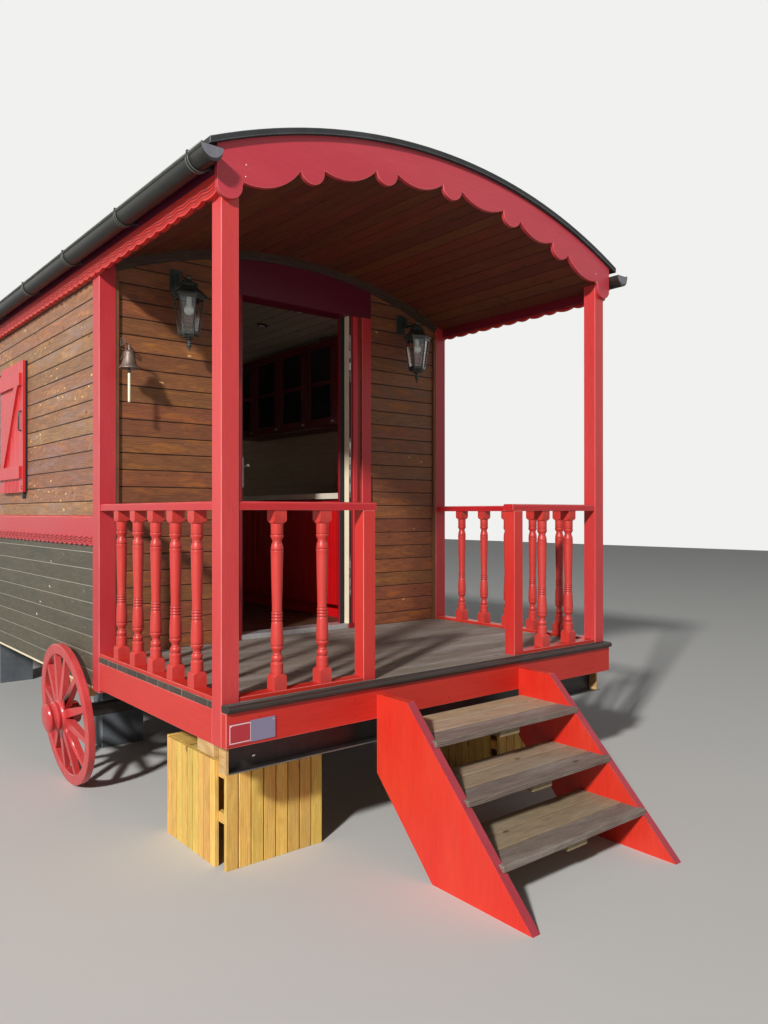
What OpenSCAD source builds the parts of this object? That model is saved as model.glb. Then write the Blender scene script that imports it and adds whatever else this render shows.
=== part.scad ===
/* [Main sizes] */
// Width over the porch posts and the corner boards
hut_w = 2500; // [2300:10:2550]
// Length of the closed room over its corner boards
room_l = 4800; // [3600:50:7200]
// Depth of the open porch, from the front of the posts to the corner boards
porch_l = 1355; // [1000:5:1800]
// Height of the porch deck above the ground
deck_h = 780; // [700:5:860]
// Thickness of the boarded walls
wall_t = 120; // [80:5:160]

/* [Roof] */
// Outer radius of the barrel roof
roof_r = 3143; // [2900:1:3600]
// Height of the crown of the roof above the deck
roof_top = 2499; // [2300:1:2700]
// Half width of the roof sheets, eaves included
roof_half = 1319; // [1290:1:1400]
// Thickness of the roofing and its deck at the visible edge
roof_t = 25; // [20:1:60]
// Radius of the boarded ceiling
ceiling_r = 2985; // [2900:1:3050]
// Overhang of the roof sheets past the posts
roof_over = 42; // [20:1:200]

/* [Bargeboards] */
// Radius of the cusps between the lobes of the lower edge
cusp_r = 2990; // [2900:1:3050]
// Drop of a long lobe below its cusps
lobe_drop = 42; // [10:1:60]
// Drop of a short lobe below its cusps
short_drop = 57; // [10:1:60]
// Thickness of the bargeboard
barge_t = 22; // [18:1:40]
// Half width of the bargeboard over its upright ends
barge_half = 1278; // [1260:1:1310]

/* [Porch rails] */
// Side of the square porch posts
post_s = 80; // [60:1:120]
// Height of the top of the handrail above the deck
rail_top = 805; // [700:5:1100]
// Thickness of the handrail
rail_t = 36; // [25:1:60]
// Width of the handrail
rail_w = 70; // [50:1:100]
// Side of the square blocks of a baluster
bal_block = 60; // [40:1:80]
// Balusters along each side rail
side_balusters = 5; // [3:1:8]

/* [Doorway] */
// Half of the clear width of the doorway
door_clear = 361; // [330:1:420]
// Height of the doorway
door_h = 2055; // [1950:5:2100]
// Angle at which the door stands open
door_open = 60; // [0:1:95]
// Thickness of the door
door_t = 44; // [35:1:60]

/* [Windows and shutters] */
// Width of the window in each side wall
win_w = 1060; // [600:10:1400]
// Bottom of the window above the deck
win_low = 905; // [700:5:1200]
// Top of the window above the deck
win_high = 1755; // [1500:5:1900]
// Distance of the left window centre from the front corner boards
left_win_mid = 2470; // [1500:5:4000]
// Distance of the right window centre from the front corner boards
right_win_mid = 3545; // [1500:5:4000]

/* [Steps] */
// Height between the treads
step_rise = 195; // [150:1:220]
// Distance between the front edges of the treads
step_going = 187; // [160:1:280]
// Depth of each tread
tread_d = 355; // [250:5:400]
// Half width between the inner faces of the stringers
step_half = 455; // [400:1:500]

/* [Wheels] */
// Radius of the road wheels
wheel_r = 400; // [300:5:500]
// Depth of the wooden rim
felloe = 60; // [40:1:90]
// Number of spokes
spokes = 12; // [8:1:16]
// Outward lean of the top of each wheel in degrees
camber = 5; // [0:0.5:6]
// Distance of the front axle behind the posts
axle_y = 1810; // [1500:1:2000]
// Distance of the rear axle before the back of the body
rear_axle = 400; // [300:10:900]

/* [Kitchen] */
// Rear end of the kitchen worktop
kitchen_end = 3600; // [2400:10:4200]
// Depth of the kitchen worktop
worktop_d = 560; // [500:10:640]
// Doors along the wall cupboards
cupboard_doors = 5; // [2:1:6]

/* [Hidden] */
$fn = 64;
half = hut_w / 2;
skin = 20;
wall_x = half - skin;
front_y = porch_l + 23;
rear_y = porch_l + room_l - 23;
in_x = wall_x - wall_t;
in_y1 = front_y + wall_t;
in_y2 = rear_y - wall_t;
back_y = porch_l + room_l;
roof_c = roof_top - roof_r;
under_r = roof_r - roof_t;
sill_z = -180;
plank_t = 28;
rim_low = -170;
beam_low = -262;
corner_front = 90;
corner_side = 97;
eave_z = 2008;
wheel_x = half + 20;
tyre_half = 17;
wheel_z = -deck_h + wheel_r * cos(camber) + tyre_half * sin(camber);
low_y = -941;
roof_back = back_y + roof_over;
high_y = back_y + 80;
mid_y = (low_y + high_y) / 2;
frame_half = 489;
casing_half = 569;
leaf_half = 391;
leaf_gap = 7;
leaf_y = in_y1 - 3;
hinge_x = -leaf_half - 3;
hinge_y = in_y1 + 7;
hinge_heights = [190, 1010, 1800];
barge_cusps = [[-23.1, -35], [-17.4, -17], [-15, -18], [-9.3, -4], [-6.87, -2], [-1.35, 3],
  [1.15, 4], [6.95, 4], [9.5, -3], [14.75, -1], [17.43, -4], [22.9, -5]];
lantern_y = 1200;
bell_x = -1131;
bell_y = 1245;
rope_d = 14;
rope_route = [[bell_x, bell_y, 1490], [bell_x, bell_y, 1460], [bell_x, bell_y, 1430],
  [bell_x, bell_y, 1400], [bell_x, bell_y, 1370], [bell_x, bell_y, 1338]];

function on_arc(r, x) = roof_c + sqrt(r * r - x * x);

// Everything is drawn from the front of the posts and the top of the deck
module place() {
  translate([0, -mid_y, deck_h]) children();
}

module box(x1, x2, y1, y2, z1, z2) {
  translate([x1, y1, z1]) cube([x2 - x1, y2 - y1, z2 - z1]);
}

module both() {
  children();
  mirror([1, 0, 0]) children();
}

// Cylinder about the roof's centre line
module roof_round(r, y1, y2) {
  translate([0, y1, roof_c]) rotate([-90, 0, 0]) cylinder(r = r, h = y2 - y1, $fn = 360);
}

// Curved layer between two radii of the roof, cut at a half width
module roof_band(r1, r2, w, y1, y2) {
  intersection() {
    difference() {
      roof_round(r2, y1, y2);
      roof_round(r1, y1 - 10, y2 + 10);
    }
    box(-w, w, y1 - 5, y2 + 5, 1500, 3000);
  }
}

module floor() {
  color([0.72, 0.55, 0.36]) {
    box(-in_x, in_x, in_y1, in_y2, sill_z, 0);
    box(-frame_half, frame_half, front_y, in_y1, sill_z, 0);
  }
}

// Wall that follows the underside of the ceiling
module wall(x1, x2, y1, y2, z1) {
  intersection() {
    box(x1, x2, y1, y2, z1, 2600);
    roof_round(ceiling_r, y1 - 10, y2 + 10);
  }
}

// Side wall drawn on the left, with its window at a distance from the posts
module side_wall(wy) {
  difference() {
    wall(-wall_x, -in_x, front_y, rear_y, sill_z);
    box(-wall_x - 10, -in_x + 10, wy - win_w / 2, wy + win_w / 2, win_low, win_high);
  }
}

module left_wall() {
  color([0.45, 0.27, 0.15]) side_wall(porch_l + left_win_mid);
}

module right_wall() {
  color([0.45, 0.27, 0.15]) mirror([1, 0, 0]) side_wall(porch_l + right_win_mid);
}

module front_wall_left() {
  color([0.45, 0.27, 0.15]) wall(-in_x, -frame_half, front_y, in_y1, sill_z);
}

module front_wall_right() {
  mirror([1, 0, 0]) front_wall_left();
}

module front_wall_over_door() {
  color([0.45, 0.27, 0.15]) wall(-frame_half, frame_half, front_y, in_y1, door_h + 45);
}

module rear_wall() {
  color([0.45, 0.27, 0.15]) wall(-in_x, in_x, in_y2, rear_y, sill_z);
}

module porch_ceiling() {
  color([0.42, 0.26, 0.15]) roof_band(ceiling_r, under_r, half, 0, front_y);
}

module room_ceiling() {
  color([0.88, 0.85, 0.8]) roof_band(ceiling_r, under_r, half, front_y, back_y);
}

module roof_shell() {
  color([0.16, 0.16, 0.16]) roof_band(under_r, roof_r, roof_half, -roof_over, roof_back);
}

// Point on the bargeboard at an angle from the crown and a radius
function barge_point(c) = [(cusp_r + c[1]) * sin(c[0]), roof_c + (cusp_r + c[1]) * cos(c[0])];

// Round lobe that hangs by a drop below the line between two cusps
module lobe(p, q, drop) {
  chord = norm(q - p);
  r = (chord * chord / 4 + drop * drop) / (2 * drop);
  up = [p[1] - q[1], q[0] - p[0]] / chord;
  c = (p + q) / 2 + up * (r - drop);
  translate([c[0], 0, c[1]]) rotate([-90, 0, 0]) cylinder(r = r, h = barge_t, $fn = 120);
}

// Rounded lower end of the bargeboard beside its last cusp
module ear(side, c, z, r) {
  x = side * (barge_half - 53);
  translate([x, 0, z]) rotate([-90, 0, 0]) cylinder(r = r, h = barge_t);
  translate([0, barge_t, 0]) rotate([90, 0, 0]) linear_extrude(height = barge_t)
    polygon([c, [x - side * 0.7 * r, z - 0.7 * r], [x, z], [side * (barge_half + 10), z],
      [side * (barge_half + 10), 2400], [c[0], 2400]]);
}

// Bargeboard with alternate long and short lobes and an ear at each end
module bargeboard() {
  points = [for (c = barge_cusps) barge_point(c)];
  last = len(points) - 1;
  intersection() {
    roof_round(under_r, 0, barge_t);
    box(-barge_half, barge_half, -5, barge_t + 5, 1900, 3000);
    union() {
      translate([0, barge_t, 0]) rotate([90, 0, 0]) linear_extrude(height = barge_t)
        polygon(concat(points, [[points[last][0], 2600], [points[0][0], 2600]]));
      for (i = [0 : last - 1]) lobe(points[i], points[i + 1], i % 2 == 0 ? lobe_drop : short_drop);
      ear(-1, points[0], 2056, 60);
      ear(1, points[last], 2075, 57);
    }
  }
}

module front_bargeboard() {
  color([0.8, 0.16, 0.12]) translate([0, -barge_t, 0]) bargeboard();
}

module rear_bargeboard() {
  color([0.8, 0.16, 0.12]) translate([0, back_y, 0]) bargeboard();
}

// Lobes of a wavy lower edge along Y, alternately long and short
module edge_lobes(y1, y2, long, short, drop) {
  n = floor((y2 - y1) / (long + short));
  k = (y2 - y1) / (n * (long + short));
  for (i = [0 : n - 1]) for (part = [0, 1]) {
    chord = k * (part == 0 ? long : short);
    r = (chord * chord / 4 + drop * drop) / (2 * drop);
    y = y1 + k * (i * (long + short) + (part == 0 ? long / 2 : long + short / 2));
    translate([-half - 20, y, eave_z + r]) rotate([0, 90, 0]) cylinder(r = r, h = 20, $fn = 96);
  }
}

module eave_boards() {
  color([0.8, 0.16, 0.12]) both() {
    intersection() {
      union() {
        box(-half - 20, -half, 0, back_y, eave_z + 12, 2300);
        edge_lobes(0, porch_l, 125, 93, 12);
        edge_lobes(porch_l, back_y, 92, 78, 12);
      }
      box(-half - 20, -half, 0, back_y, eave_z - 5, 2300);
      roof_round(under_r, -5, back_y + 5);
    }
    box(-half, -wall_x, porch_l + corner_side, back_y - corner_side, eave_z + 12,
      on_arc(ceiling_r, half) - 0.5);
  }
}

// Deep half round gutters with end stops and straps
module gutters() {
  gx = -1328;
  r = 44;
  y1 = -80;
  y2 = high_y;
  color([0.33, 0.34, 0.27]) both() difference() {
    union() {
      translate([gx, y1, 2139]) rotate([-90, 0, 0]) cylinder(r = r, h = y2 - y1);
      box(gx - r, gx + r, y1, y2, 2139, 2155);
      for (i = [0 : 8]) translate([0, 30 + i * 760, 0]) {
        translate([gx, 0, 2139]) rotate([-90, 0, 0]) cylinder(r = r + 4, h = 25);
        box(gx - r - 4, gx + r + 4, 0, 25, 2139, 2150);
        box(gx + r, -half - 20, 0, 25, 2110, 2150);
      }
    }
    translate([gx, y1 + 4, 2139]) rotate([-90, 0, 0]) cylinder(r = r - 3, h = y2 - y1 - 8);
    box(gx - r + 3, gx + r - 3, y1 + 4, y2 - 4, 2139, 2200);
    box(gx - r - 10, gx + r + 10, y1 - 5, y2 + 5, 2155, 2200);
  }
}

module corner_boards() {
  z1 = sill_z - 10;
  color([0.8, 0.16, 0.12]) both() for (side = [0, 1])
    translate([0, side * (2 * porch_l + room_l), 0]) mirror([0, side, 0]) intersection() {
      union() {
        box(half - corner_front, half, porch_l, front_y, z1, 2100);
        box(wall_x, half, porch_l, porch_l + corner_side, z1, 2100);
      }
      roof_round(ceiling_r, 0, 9000);
    }
}

module corner_laths() {
  x2 = half - corner_front;
  color([0.35, 0.2, 0.12]) both() box(x2 - 19, x2, porch_l + 3, front_y, 0, 2010);
}

// Belt rail between the upper and lower boarding of the side walls
module belt_rails() {
  color([0.8, 0.16, 0.12]) both()
    translate([wall_x, back_y - corner_side, 0]) rotate([90, 0, 0])
      linear_extrude(height = room_l - 2 * corner_side)
        polygon([[0, 592], [18, 592], [18, 736], [0, 748]]);
}

module porch_deck() {
  color([0.5, 0.44, 0.37]) difference() {
    box(-half, half, 0, front_y, -plank_t, 0);
    both() box(half - post_s, half + 5, -5, post_s, -plank_t - 2, 5);
    both() box(half - corner_front, half + 5, porch_l, front_y + 5, -plank_t - 2, 5);
  }
}

module deck_nosing() {
  r = plank_t / 2;
  color([0.3, 0.25, 0.2]) union() {
    box(-half, half, -46, 0, -plank_t, 0);
    translate([-half, -46, -r]) rotate([0, 90, 0]) cylinder(r = r, h = hut_w);
  }
}

module porch_rims() {
  color([0.8, 0.16, 0.12]) both() box(half - 28, half, post_s, porch_l, rim_low, -plank_t);
}

module porch_joists() {
  color([0.72, 0.58, 0.4]) {
    for (x = [-800 : 400 : 800]) box(x - 22, x + 22, 0, front_y, rim_low, -plank_t);
  }
}

// Packers under the rim boards, under the side walls and at the ends of the front channel
module rim_packers() {
  color([0.85, 0.68, 0.42]) both() {
    box(half - 60, half - 8, post_s, 225, rim_low - 55, rim_low);
    box(half - 45, half - 30, 22, 78, -290, rim_low);
    box(half - 60, wall_x, 1560, 2050, sill_z - 65, sill_z);
  }
}

module front_fascia() {
  color([0.8, 0.16, 0.12]) box(-half, half, -40, 0, rim_low + 4, -plank_t);
}

module porch_posts() {
  color([0.8, 0.16, 0.12]) both() intersection() {
    box(half - post_s, half, 0, post_s, rim_low, 2200);
    roof_round(ceiling_r, -5, 5000);
  }
}

// Thin plates behind the eave boards of the porch
module porch_plates() {
  color([0.8, 0.16, 0.12]) both() intersection() {
    box(half - 26, half, post_s, porch_l, eave_z + 16, 2300);
    roof_round(ceiling_r, -5, 5000);
  }
}

module newels() {
  color([0.8, 0.16, 0.12]) both() box(471, 539, 4, 72, 0, rail_top - rail_t);
}

// Handrail section with rounded upper edges
module rail_section() {
  w = rail_w / 2;
  polygon([[-w, 0], [w, 0], [w, rail_t - 10], [w - 3, rail_t - 3], [w - 10, rail_t],
    [-w + 10, rail_t], [-w + 3, rail_t - 3], [-w, rail_t - 10]]);
}

module handrails() {
  z = rail_top - rail_t;
  color([0.8, 0.16, 0.12]) both() {
    translate([462, post_s / 2, z]) rotate([90, 0, 90])
      linear_extrude(height = half - post_s - 462) rail_section();
    translate([half - post_s / 2, porch_l, z]) rotate([90, 0, 0])
      linear_extrude(height = porch_l - post_s) rail_section();
  }
}

module sole_plates() {
  w = rail_w / 2;
  c = half - post_s / 2;
  color([0.8, 0.16, 0.12]) both() {
    box(539, half - post_s, post_s / 2 - w, post_s / 2 + w, 0, 18);
    box(c - w, c + w, post_s, porch_l, 0, 18);
  }
}

// Points of a bead of the turning, bulging between two heights
function bead(z1, z2, r1, r2, n = 6) =
  [for (i = [0 : n]) [r1 + (r2 - r1) * sin(180 * i / n), z1 + (z2 - z1) * i / n]];

// Radius and height of the turned part, from the bottom block to the top block
function turning() = concat(
  [[0, 85], [26, 85], [27, 92], [26.5, 118], [27, 124], [27, 128], [24, 131], [22, 134]],
  bead(137, 161, 21, 24.5),
  [[18, 164], [17, 168], [17, 172], [19, 178], [24, 186], [27, 192], [27, 199], [25, 201], [25, 204]],
  [[26.5, 207], [26.8, 225], [26.3, 250], [25, 275], [23.5, 296], [22, 303]],
  [for (k = [0 : 2]) for (p = bead(306 + k * 13, 317 + k * 13, 21, 23.8, 4)) p],
  [[21.3, 346], [21, 360], [21.5, 390], [23, 440], [24.3, 490], [25.2, 540], [26, 588]],
  [[27, 592], [27, 598], [25, 600], [25, 603], [26, 606], [25.6, 613], [24, 622], [22, 629]],
  [[19.5, 634], [19, 638], [20, 642], [24, 650], [27, 656], [27.5, 660], [27.5, 664], [25, 666]],
  [[25, 669], [26, 672], [26, 700], [26.5, 708], [26, 714], [0, 714]]
);

// Square block of a baluster with its end turned down at one height
module baluster_block(z1, z2, turned) {
  b = bal_block / 2;
  out = b * 1.5;
  low = turned == z1 ? b + 1 : out;
  high = turned == z2 ? b + 1 : out;
  intersection() {
    box(-b, b, -b, b, z1, z2);
    rotate_extrude($fn = 48)
      polygon([[0, z1], [low, z1], [out, z1 + 14], [out, z2 - 14], [high, z2], [0, z2]]);
  }
}

// Turned baluster standing on the sole plate
module baluster() {
  baluster_block(18, 85, 85);
  rotate_extrude($fn = 48) polygon(turning());
  baluster_block(714, rail_top - rail_t, 714);
}

module balusters_front() {
  color([0.8, 0.16, 0.12]) both() for (x = [740, 970]) translate([x, post_s / 2, 0]) baluster();
}

module side_row() {
  step = (porch_l - post_s) / (side_balusters + 1);
  for (i = [1 : side_balusters]) translate([half - post_s / 2, post_s + i * step, 0]) baluster();
}

module balusters_side() {
  color([0.8, 0.16, 0.12]) both() side_row();
}

// Three planks of one tread, counted from the ground
module tread_planks(n, gap) {
  z = -step_rise * (4 - n);
  y = -406 - step_going * (3 - n);
  w = (tread_d - 10) / 3;
  for (i = [0 : 2]) box(-step_half - 20 - gap, step_half + 20 + gap,
    y + i * (w + 5) - gap, y + i * (w + 5) + w + gap, z - plank_t - gap, z + gap);
}

module stringers() {
  color([0.8, 0.16, 0.12]) both() difference() {
    translate([-497, 0, 0]) rotate([90, 0, 90]) linear_extrude(height = 42)
      polygon([[-40, -57], [-245, -57], [low_y, -deck_h], [-405, -deck_h], [-40, -408]]);
    for (n = [1 : 3]) tread_planks(n, 0);
  }
}

module treads() {
  color([0.55, 0.48, 0.4]) for (n = [1 : 3]) tread_planks(n, 0);
}

// Cleat that ties the planks of each tread together in the middle
module tread_cleats() {
  color([0.72, 0.58, 0.4]) for (n = [1 : 3]) {
    z = -step_rise * (4 - n) - plank_t;
    y = -406 - step_going * (3 - n);
    box(-65, 65, y + 18, y + tread_d - 10, z - 30, z);
  }
}

module door_casing() {
  color([0.8, 0.16, 0.12]) both() box(frame_half + 7, casing_half, porch_l, front_y, 0, door_h);
}

module door_frame() {
  color([0.8, 0.16, 0.12]) {
    both() box(leaf_half + leaf_gap, frame_half, front_y - 8, in_y1, 0, door_h);
    box(-frame_half, frame_half, front_y - 8, in_y1, door_h, door_h + 45);
    both() box(door_clear, leaf_half + leaf_gap, front_y + 45, front_y + 65, 30, door_h);
  }
}

module door_head_board() {
  color([0.8, 0.16, 0.12]) difference() {
    intersection() {
      box(-casing_half, casing_half, porch_l, front_y, door_h, 2400);
      roof_round(2930, 0, 4000);
    }
    box(-frame_half - 1, frame_half + 1, front_y - 8, front_y + 1, door_h - 1, door_h + 45);
  }
}

module threshold() {
  color([0.75, 0.75, 0.75]) box(-leaf_half - leaf_gap, leaf_half + leaf_gap, front_y, in_y1, 0, 30);
}

module cornice() {
  color([0.42, 0.26, 0.15]) {
    roof_band(2930, ceiling_r, half - corner_front, front_y - 18, front_y);
    roof_band(2950, ceiling_r, half - corner_front, front_y - 34, front_y - 18);
  }
}

// Turns what is drawn on the closed door to the angle at which it stands
module on_door() {
  translate([hinge_x, hinge_y, 0]) rotate([0, 0, door_open]) translate([-hinge_x, -hinge_y, 0]) children();
}

// Panelled door, seen from either side
module door_leaf() {
  y2 = leaf_y;
  y1 = y2 - door_t;
  z1 = 36;
  z2 = door_h - 6;
  color([0.8, 0.16, 0.12]) on_door() difference() {
    box(-leaf_half, leaf_half, y1, y2, z1, z2);
    for (f = [[y1 - 5, y1 + 10], [y2 - 10, y2 + 5]]) for (z = [[170, 880], [1180, 1930]])
      box(-270, 270, f[0], f[1], z[0], z[1]);
  }
}

module door_handles() {
  x = leaf_half - 55;
  color([0.75, 0.75, 0.76]) on_door() for (s = [0, 1])
    translate([x, s == 0 ? leaf_y : leaf_y - door_t, 0]) mirror([0, s, 0]) {
      box(-16, 16, 0, 8, 936, 1146);
      translate([0, 8, 1085]) rotate([-90, 0, 0]) cylinder(d = 18, h = 42);
      translate([8, 41, 1085]) rotate([0, -90, 0]) cylinder(d = 16, h = 125);
    }
}

// Lower knuckles with their pins, fixed to the frame
module hinge_pins() {
  color([0.7, 0.7, 0.7]) for (z = hinge_heights) translate([0, 0, z]) {
    box(hinge_x - 34, hinge_x, in_y1, in_y1 + 3, 0, 45);
    translate([hinge_x, hinge_y, 0]) cylinder(r = 6.5, h = 45);
    translate([hinge_x, hinge_y, 45]) cylinder(r = 4, h = 40);
  }
}

// Upper knuckles, fixed to the door
module hinge_flags() {
  color([0.7, 0.7, 0.7]) on_door() for (z = hinge_heights) translate([0, 0, z + 45.5]) difference() {
    union() {
      translate([hinge_x, hinge_y, 0]) cylinder(r = 6.5, h = 45);
      box(hinge_x, hinge_x + 34, leaf_y, leaf_y + 5, 0, 45);
    }
    translate([hinge_x, hinge_y, -1]) cylinder(r = 4.05, h = 47);
  }
}

// Places what is drawn on the right side about the middle of a window
module at_windows() {
  translate([0, porch_l + right_win_mid, 0]) children();
  translate([0, porch_l + left_win_mid, 0]) mirror([1, 0, 0]) children();
}

// Clear light of one sash of a window
module sash_light(s, x1, x2) {
  step = s * (win_w / 2 - 25);
  box(x1, x2, 50 - win_w / 2 + step, step - 25, win_low + 50, win_high - 50);
}

module window_frames() {
  color([0.8, 0.16, 0.12]) at_windows() difference() {
    box(in_x + 30, wall_x - 5, -win_w / 2, win_w / 2, win_low, win_high);
    for (s = [0, 1]) sash_light(s, in_x, wall_x + 5);
  }
}

module window_glass() {
  color([0.6, 0.7, 0.75]) at_windows() for (s = [0, 1]) sash_light(s, in_x + 60, in_x + 74);
}

// Ledged and braced shutter folded back on the wall beside its window
module shutter() {
  w = 548;
  h = win_high - win_low + 20;
  rotate([90, 0, 90]) {
    for (i = [0 : 5]) translate([i * (w + 2) / 6, 0, 12])
      linear_extrude(height = 24) square([(w + 2) / 6 - 2, h]);
    translate([0, 0, 36]) linear_extrude(height = 20) {
      translate([18, 90]) square([w - 36, 82]);
      translate([18, h - 165]) square([w - 36, 82]);
      polygon([[60, h - 165], [142, h - 165], [w - 60, 172], [w - 142, 172]]);
    }
    for (z = [130, h - 125]) translate([w - 70, z - 25, 0]) linear_extrude(height = 12) square([60, 50]);
  }
}

module shutters() {
  edge = win_w / 2 + 568;
  color([0.8, 0.16, 0.12]) at_windows() {
    translate([wall_x, -edge, win_low - 10]) shutter();
    translate([wall_x, edge, win_low - 10]) mirror([0, 1, 0]) shutter();
  }
}

module kitchen_base() {
  step = (kitchen_end - in_y1) / 4;
  front = in_x - worktop_d + 25;
  color([0.62, 0.12, 0.1]) {
    box(front + 65, in_x, in_y1, kitchen_end, 0, 100);
    box(front + 20, in_x, in_y1, kitchen_end, 100, 855);
    for (i = [0 : 3]) box(front, front + 20, in_y1 + 3 + i * step, in_y1 - 3 + (i + 1) * step, 105, 850);
  }
}

module kitchen_worktop() {
  color([0.25, 0.18, 0.14]) box(in_x - worktop_d, in_x, in_y1, kitchen_end + 10, 855, 900);
}

// Wall cupboards with two panes in each door
module wall_cupboards() {
  front = 800;
  y1 = 1680;
  w = 408;
  color([0.35, 0.1, 0.1]) {
    box(front + 20, in_x, y1, y1 + cupboard_doors * w, 1430, 2100);
    for (i = [0 : cupboard_doors - 1]) translate([0, y1 + i * w, 0]) difference() {
      box(front, front + 20, 2, w - 2, 1433, 2097);
      for (k = [0, 1]) box(front - 10, front + 12, 62, w - 62, 1493 + k * 285, 1752 + k * 285);
    }
  }
}

// Tapered spoke from the hub to the felloe, dished outwards at the hub
module spoke(r1, r2) {
  intersection() {
    translate([0, 0, -50]) linear_extrude(height = 120)
      polygon([[r1, -23], [r1 + 60, -24], [r2, -15], [r2, 15], [r1 + 60, 24], [r1, 23]]);
    translate([0, 30, 0]) rotate([90, 0, 0]) linear_extrude(height = 60)
      polygon([[r1, 2], [r2, -14], [r2, 14], [r1, 40]]);
  }
}

// Wheel about its own axis, outer side up
module wheel() {
  rim_in = wheel_r - felloe;
  t = tyre_half;
  rotate_extrude($fn = 96) polygon([[rim_in, 2 - t], [rim_in + 5, -t - 3], [wheel_r - 4, -t - 3],
    [wheel_r, -t], [wheel_r, t], [wheel_r - 4, t + 3], [rim_in + 5, t + 3], [rim_in, t - 2]]);
  for (i = [0 : spokes - 1]) rotate([0, 0, (i + 0.5) * 360 / spokes]) spoke(70, rim_in + 4);
  rotate_extrude($fn = 64) polygon([[28, -62], [56, -62], [62, -56], [66, -20], [78, -12], [86, 0],
    [88, 22], [86, 42], [78, 50], [80, 56], [84, 62], [84, 70], [76, 76], [74, 92], [80, 98], [82, 106],
    [78, 116], [60, 122], [30, 124], [0, 124], [0, 60], [28, 60]]);
}

// Places a piece at both axles and on both sides, leaning out at the top
module at_wheels() {
  both() for (y = [axle_y, back_y - rear_axle])
    translate([wheel_x, y, wheel_z]) rotate([0, 90 + camber, 0]) rotate([0, 0, 90]) children();
}

module wheels() {
  color([0.8, 0.16, 0.12]) at_wheels() wheel();
}

// Square axle beams on pads under the long channels, with round stubs
module axles() {
  color([0.15, 0.15, 0.15]) {
    for (y = [axle_y, back_y - rear_axle]) {
      box(-1170, 1170, y - 33, y + 33, wheel_z - 33, wheel_z + 33);
      both() box(700, 770, y - 33, y + 33, wheel_z + 33, beam_low);
    }
    at_wheels() translate([0, 0, -110]) cylinder(r = 28, h = 170, $fn = 64);
  }
}

// Two long steel channels under the floor, open towards each other
module chassis_beams() {
  color([0.2, 0.2, 0.2]) both() difference() {
    box(700, 770, 75, back_y - 100, beam_low, sill_z);
    box(690, 764, 70, back_y - 95, beam_low + 6, sill_z - 6);
  }
}

// Steel channel across each end, open outwards
module end_channels() {
  color([0.2, 0.2, 0.2]) for (s = [0, 1])
    translate([0, s * (back_y - 25), 0]) mirror([0, s, 0]) difference() {
      box(-1205, 1205, 20, 75, -290, rim_low - s * 10);
      box(-1210, 1210, 15, 69, -284, rim_low - 6 - s * 10);
    }
}

// Slatted timber box with open corners, cross planks and a bearer
module support_box() {
  x1 = 600;
  x2 = 1118;
  y1 = 235;
  y2 = 835;
  h = deck_h + beam_low - 56;
  t = 20;
  front_step = 62.75;
  side_step = 60.2;
  translate([0, 0, -deck_h]) {
    for (i = [0 : 7]) for (y = [y1, y2 - t])
      translate([x1 + 7 + i * front_step, y, 0]) cube([front_step - 5, t, h]);
    for (i = [0 : 8]) for (x = [x1, x2 - t])
      translate([x, y1 + 30 + i * side_step, 0]) cube([t, side_step - 2, h]);
    for (z = [h - 73, 0.42 * h]) difference() {
      translate([x1 + t, y1 + t, z]) cube([x2 - x1 - 2 * t, y2 - y1 - 2 * t, 45]);
      translate([x1 + t + 25, y1 + t + 25, z - 5]) cube([x2 - x1 - 2 * t - 50, y2 - y1 - 2 * t - 50, 55]);
    }
    for (i = [0 : 2]) translate([x1 + t, y1 + 27 + i * 213, h - 28]) cube([x2 - x1 - 2 * t, 120, 28]);
    translate([690, y1, h]) cube([90, y2 - y1, 56]);
  }
}

module support_boxes() {
  color([0.78, 0.6, 0.35]) both() support_box();
}

// Two slotted blocks and a timber packer
module support_stack(y) {
  translate([0, y, -deck_h]) {
    for (k = [0, 1]) difference() {
      translate([590, 0, k * 215]) cube([280, 160, 215]);
      for (i = [0, 1]) translate([620 + i * 120, 30, k * 215 - 1]) cube([100, 100, 217]);
    }
    translate([590, 0, 430]) cube([280, 160, deck_h + beam_low - 430]);
  }
}

module support_blocks() {
  color([0.6, 0.6, 0.58]) both() for (y = [2370, 4940]) support_stack(y);
}

module lantern_at() {
  for (x = [-815, 842]) translate([x, lantern_y, 0]) children();
}

// Six sided frustum between two radii over the corners, corners on the Y axis
module hexcone(z1, z2, r1, r2) {
  translate([0, 0, z1]) rotate([0, 0, 30]) cylinder(r1 = r1, r2 = r2, h = z2 - z1, $fn = 6);
}

// Six sided wall lanterns with corner bars, roof, finial and wall bracket
module lanterns() {
  arm = front_y - lantern_y - 10;
  color([0.08, 0.08, 0.08]) lantern_at() {
    difference() {
      hexcone(1727, 1932, 57, 87);
      hexcone(1720, 1940, 50, 81);
      for (i = [0 : 2]) rotate([0, 0, i * 60 + 30]) rotate([90, 0, 0])
        translate([0, 0, -120]) linear_extrude(height = 240)
          polygon([[-22, 1742], [22, 1742], [37, 1918], [-37, 1918]]);
    }
    hexcone(1712, 1727, 45, 60);
    hexcone(1932, 1944, 97, 97);
    hexcone(1944, 1992, 88, 42);
    hexcone(1992, 2010, 50, 44);
    hexcone(2010, 2022, 38, 18);
    rotate_extrude($fn = 32) polygon([[0, 2020], [9, 2020], [9, 2032], [13, 2040], [9, 2050], [0, 2056]]);
    rotate_extrude($fn = 32) polygon([[0, 1712], [20, 1712], [22, 1704], [10, 1694], [8, 1684],
      [15, 1672], [10, 1660], [5, 1650], [7, 1644], [0, 1636]]);
    box(-7, 7, 0, arm, 2026, 2042);
    box(-7, 7, 100, arm, 2042, 2092);
    box(-36, 36, arm, arm + 10, 1990, 2122);
  }
}

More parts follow.
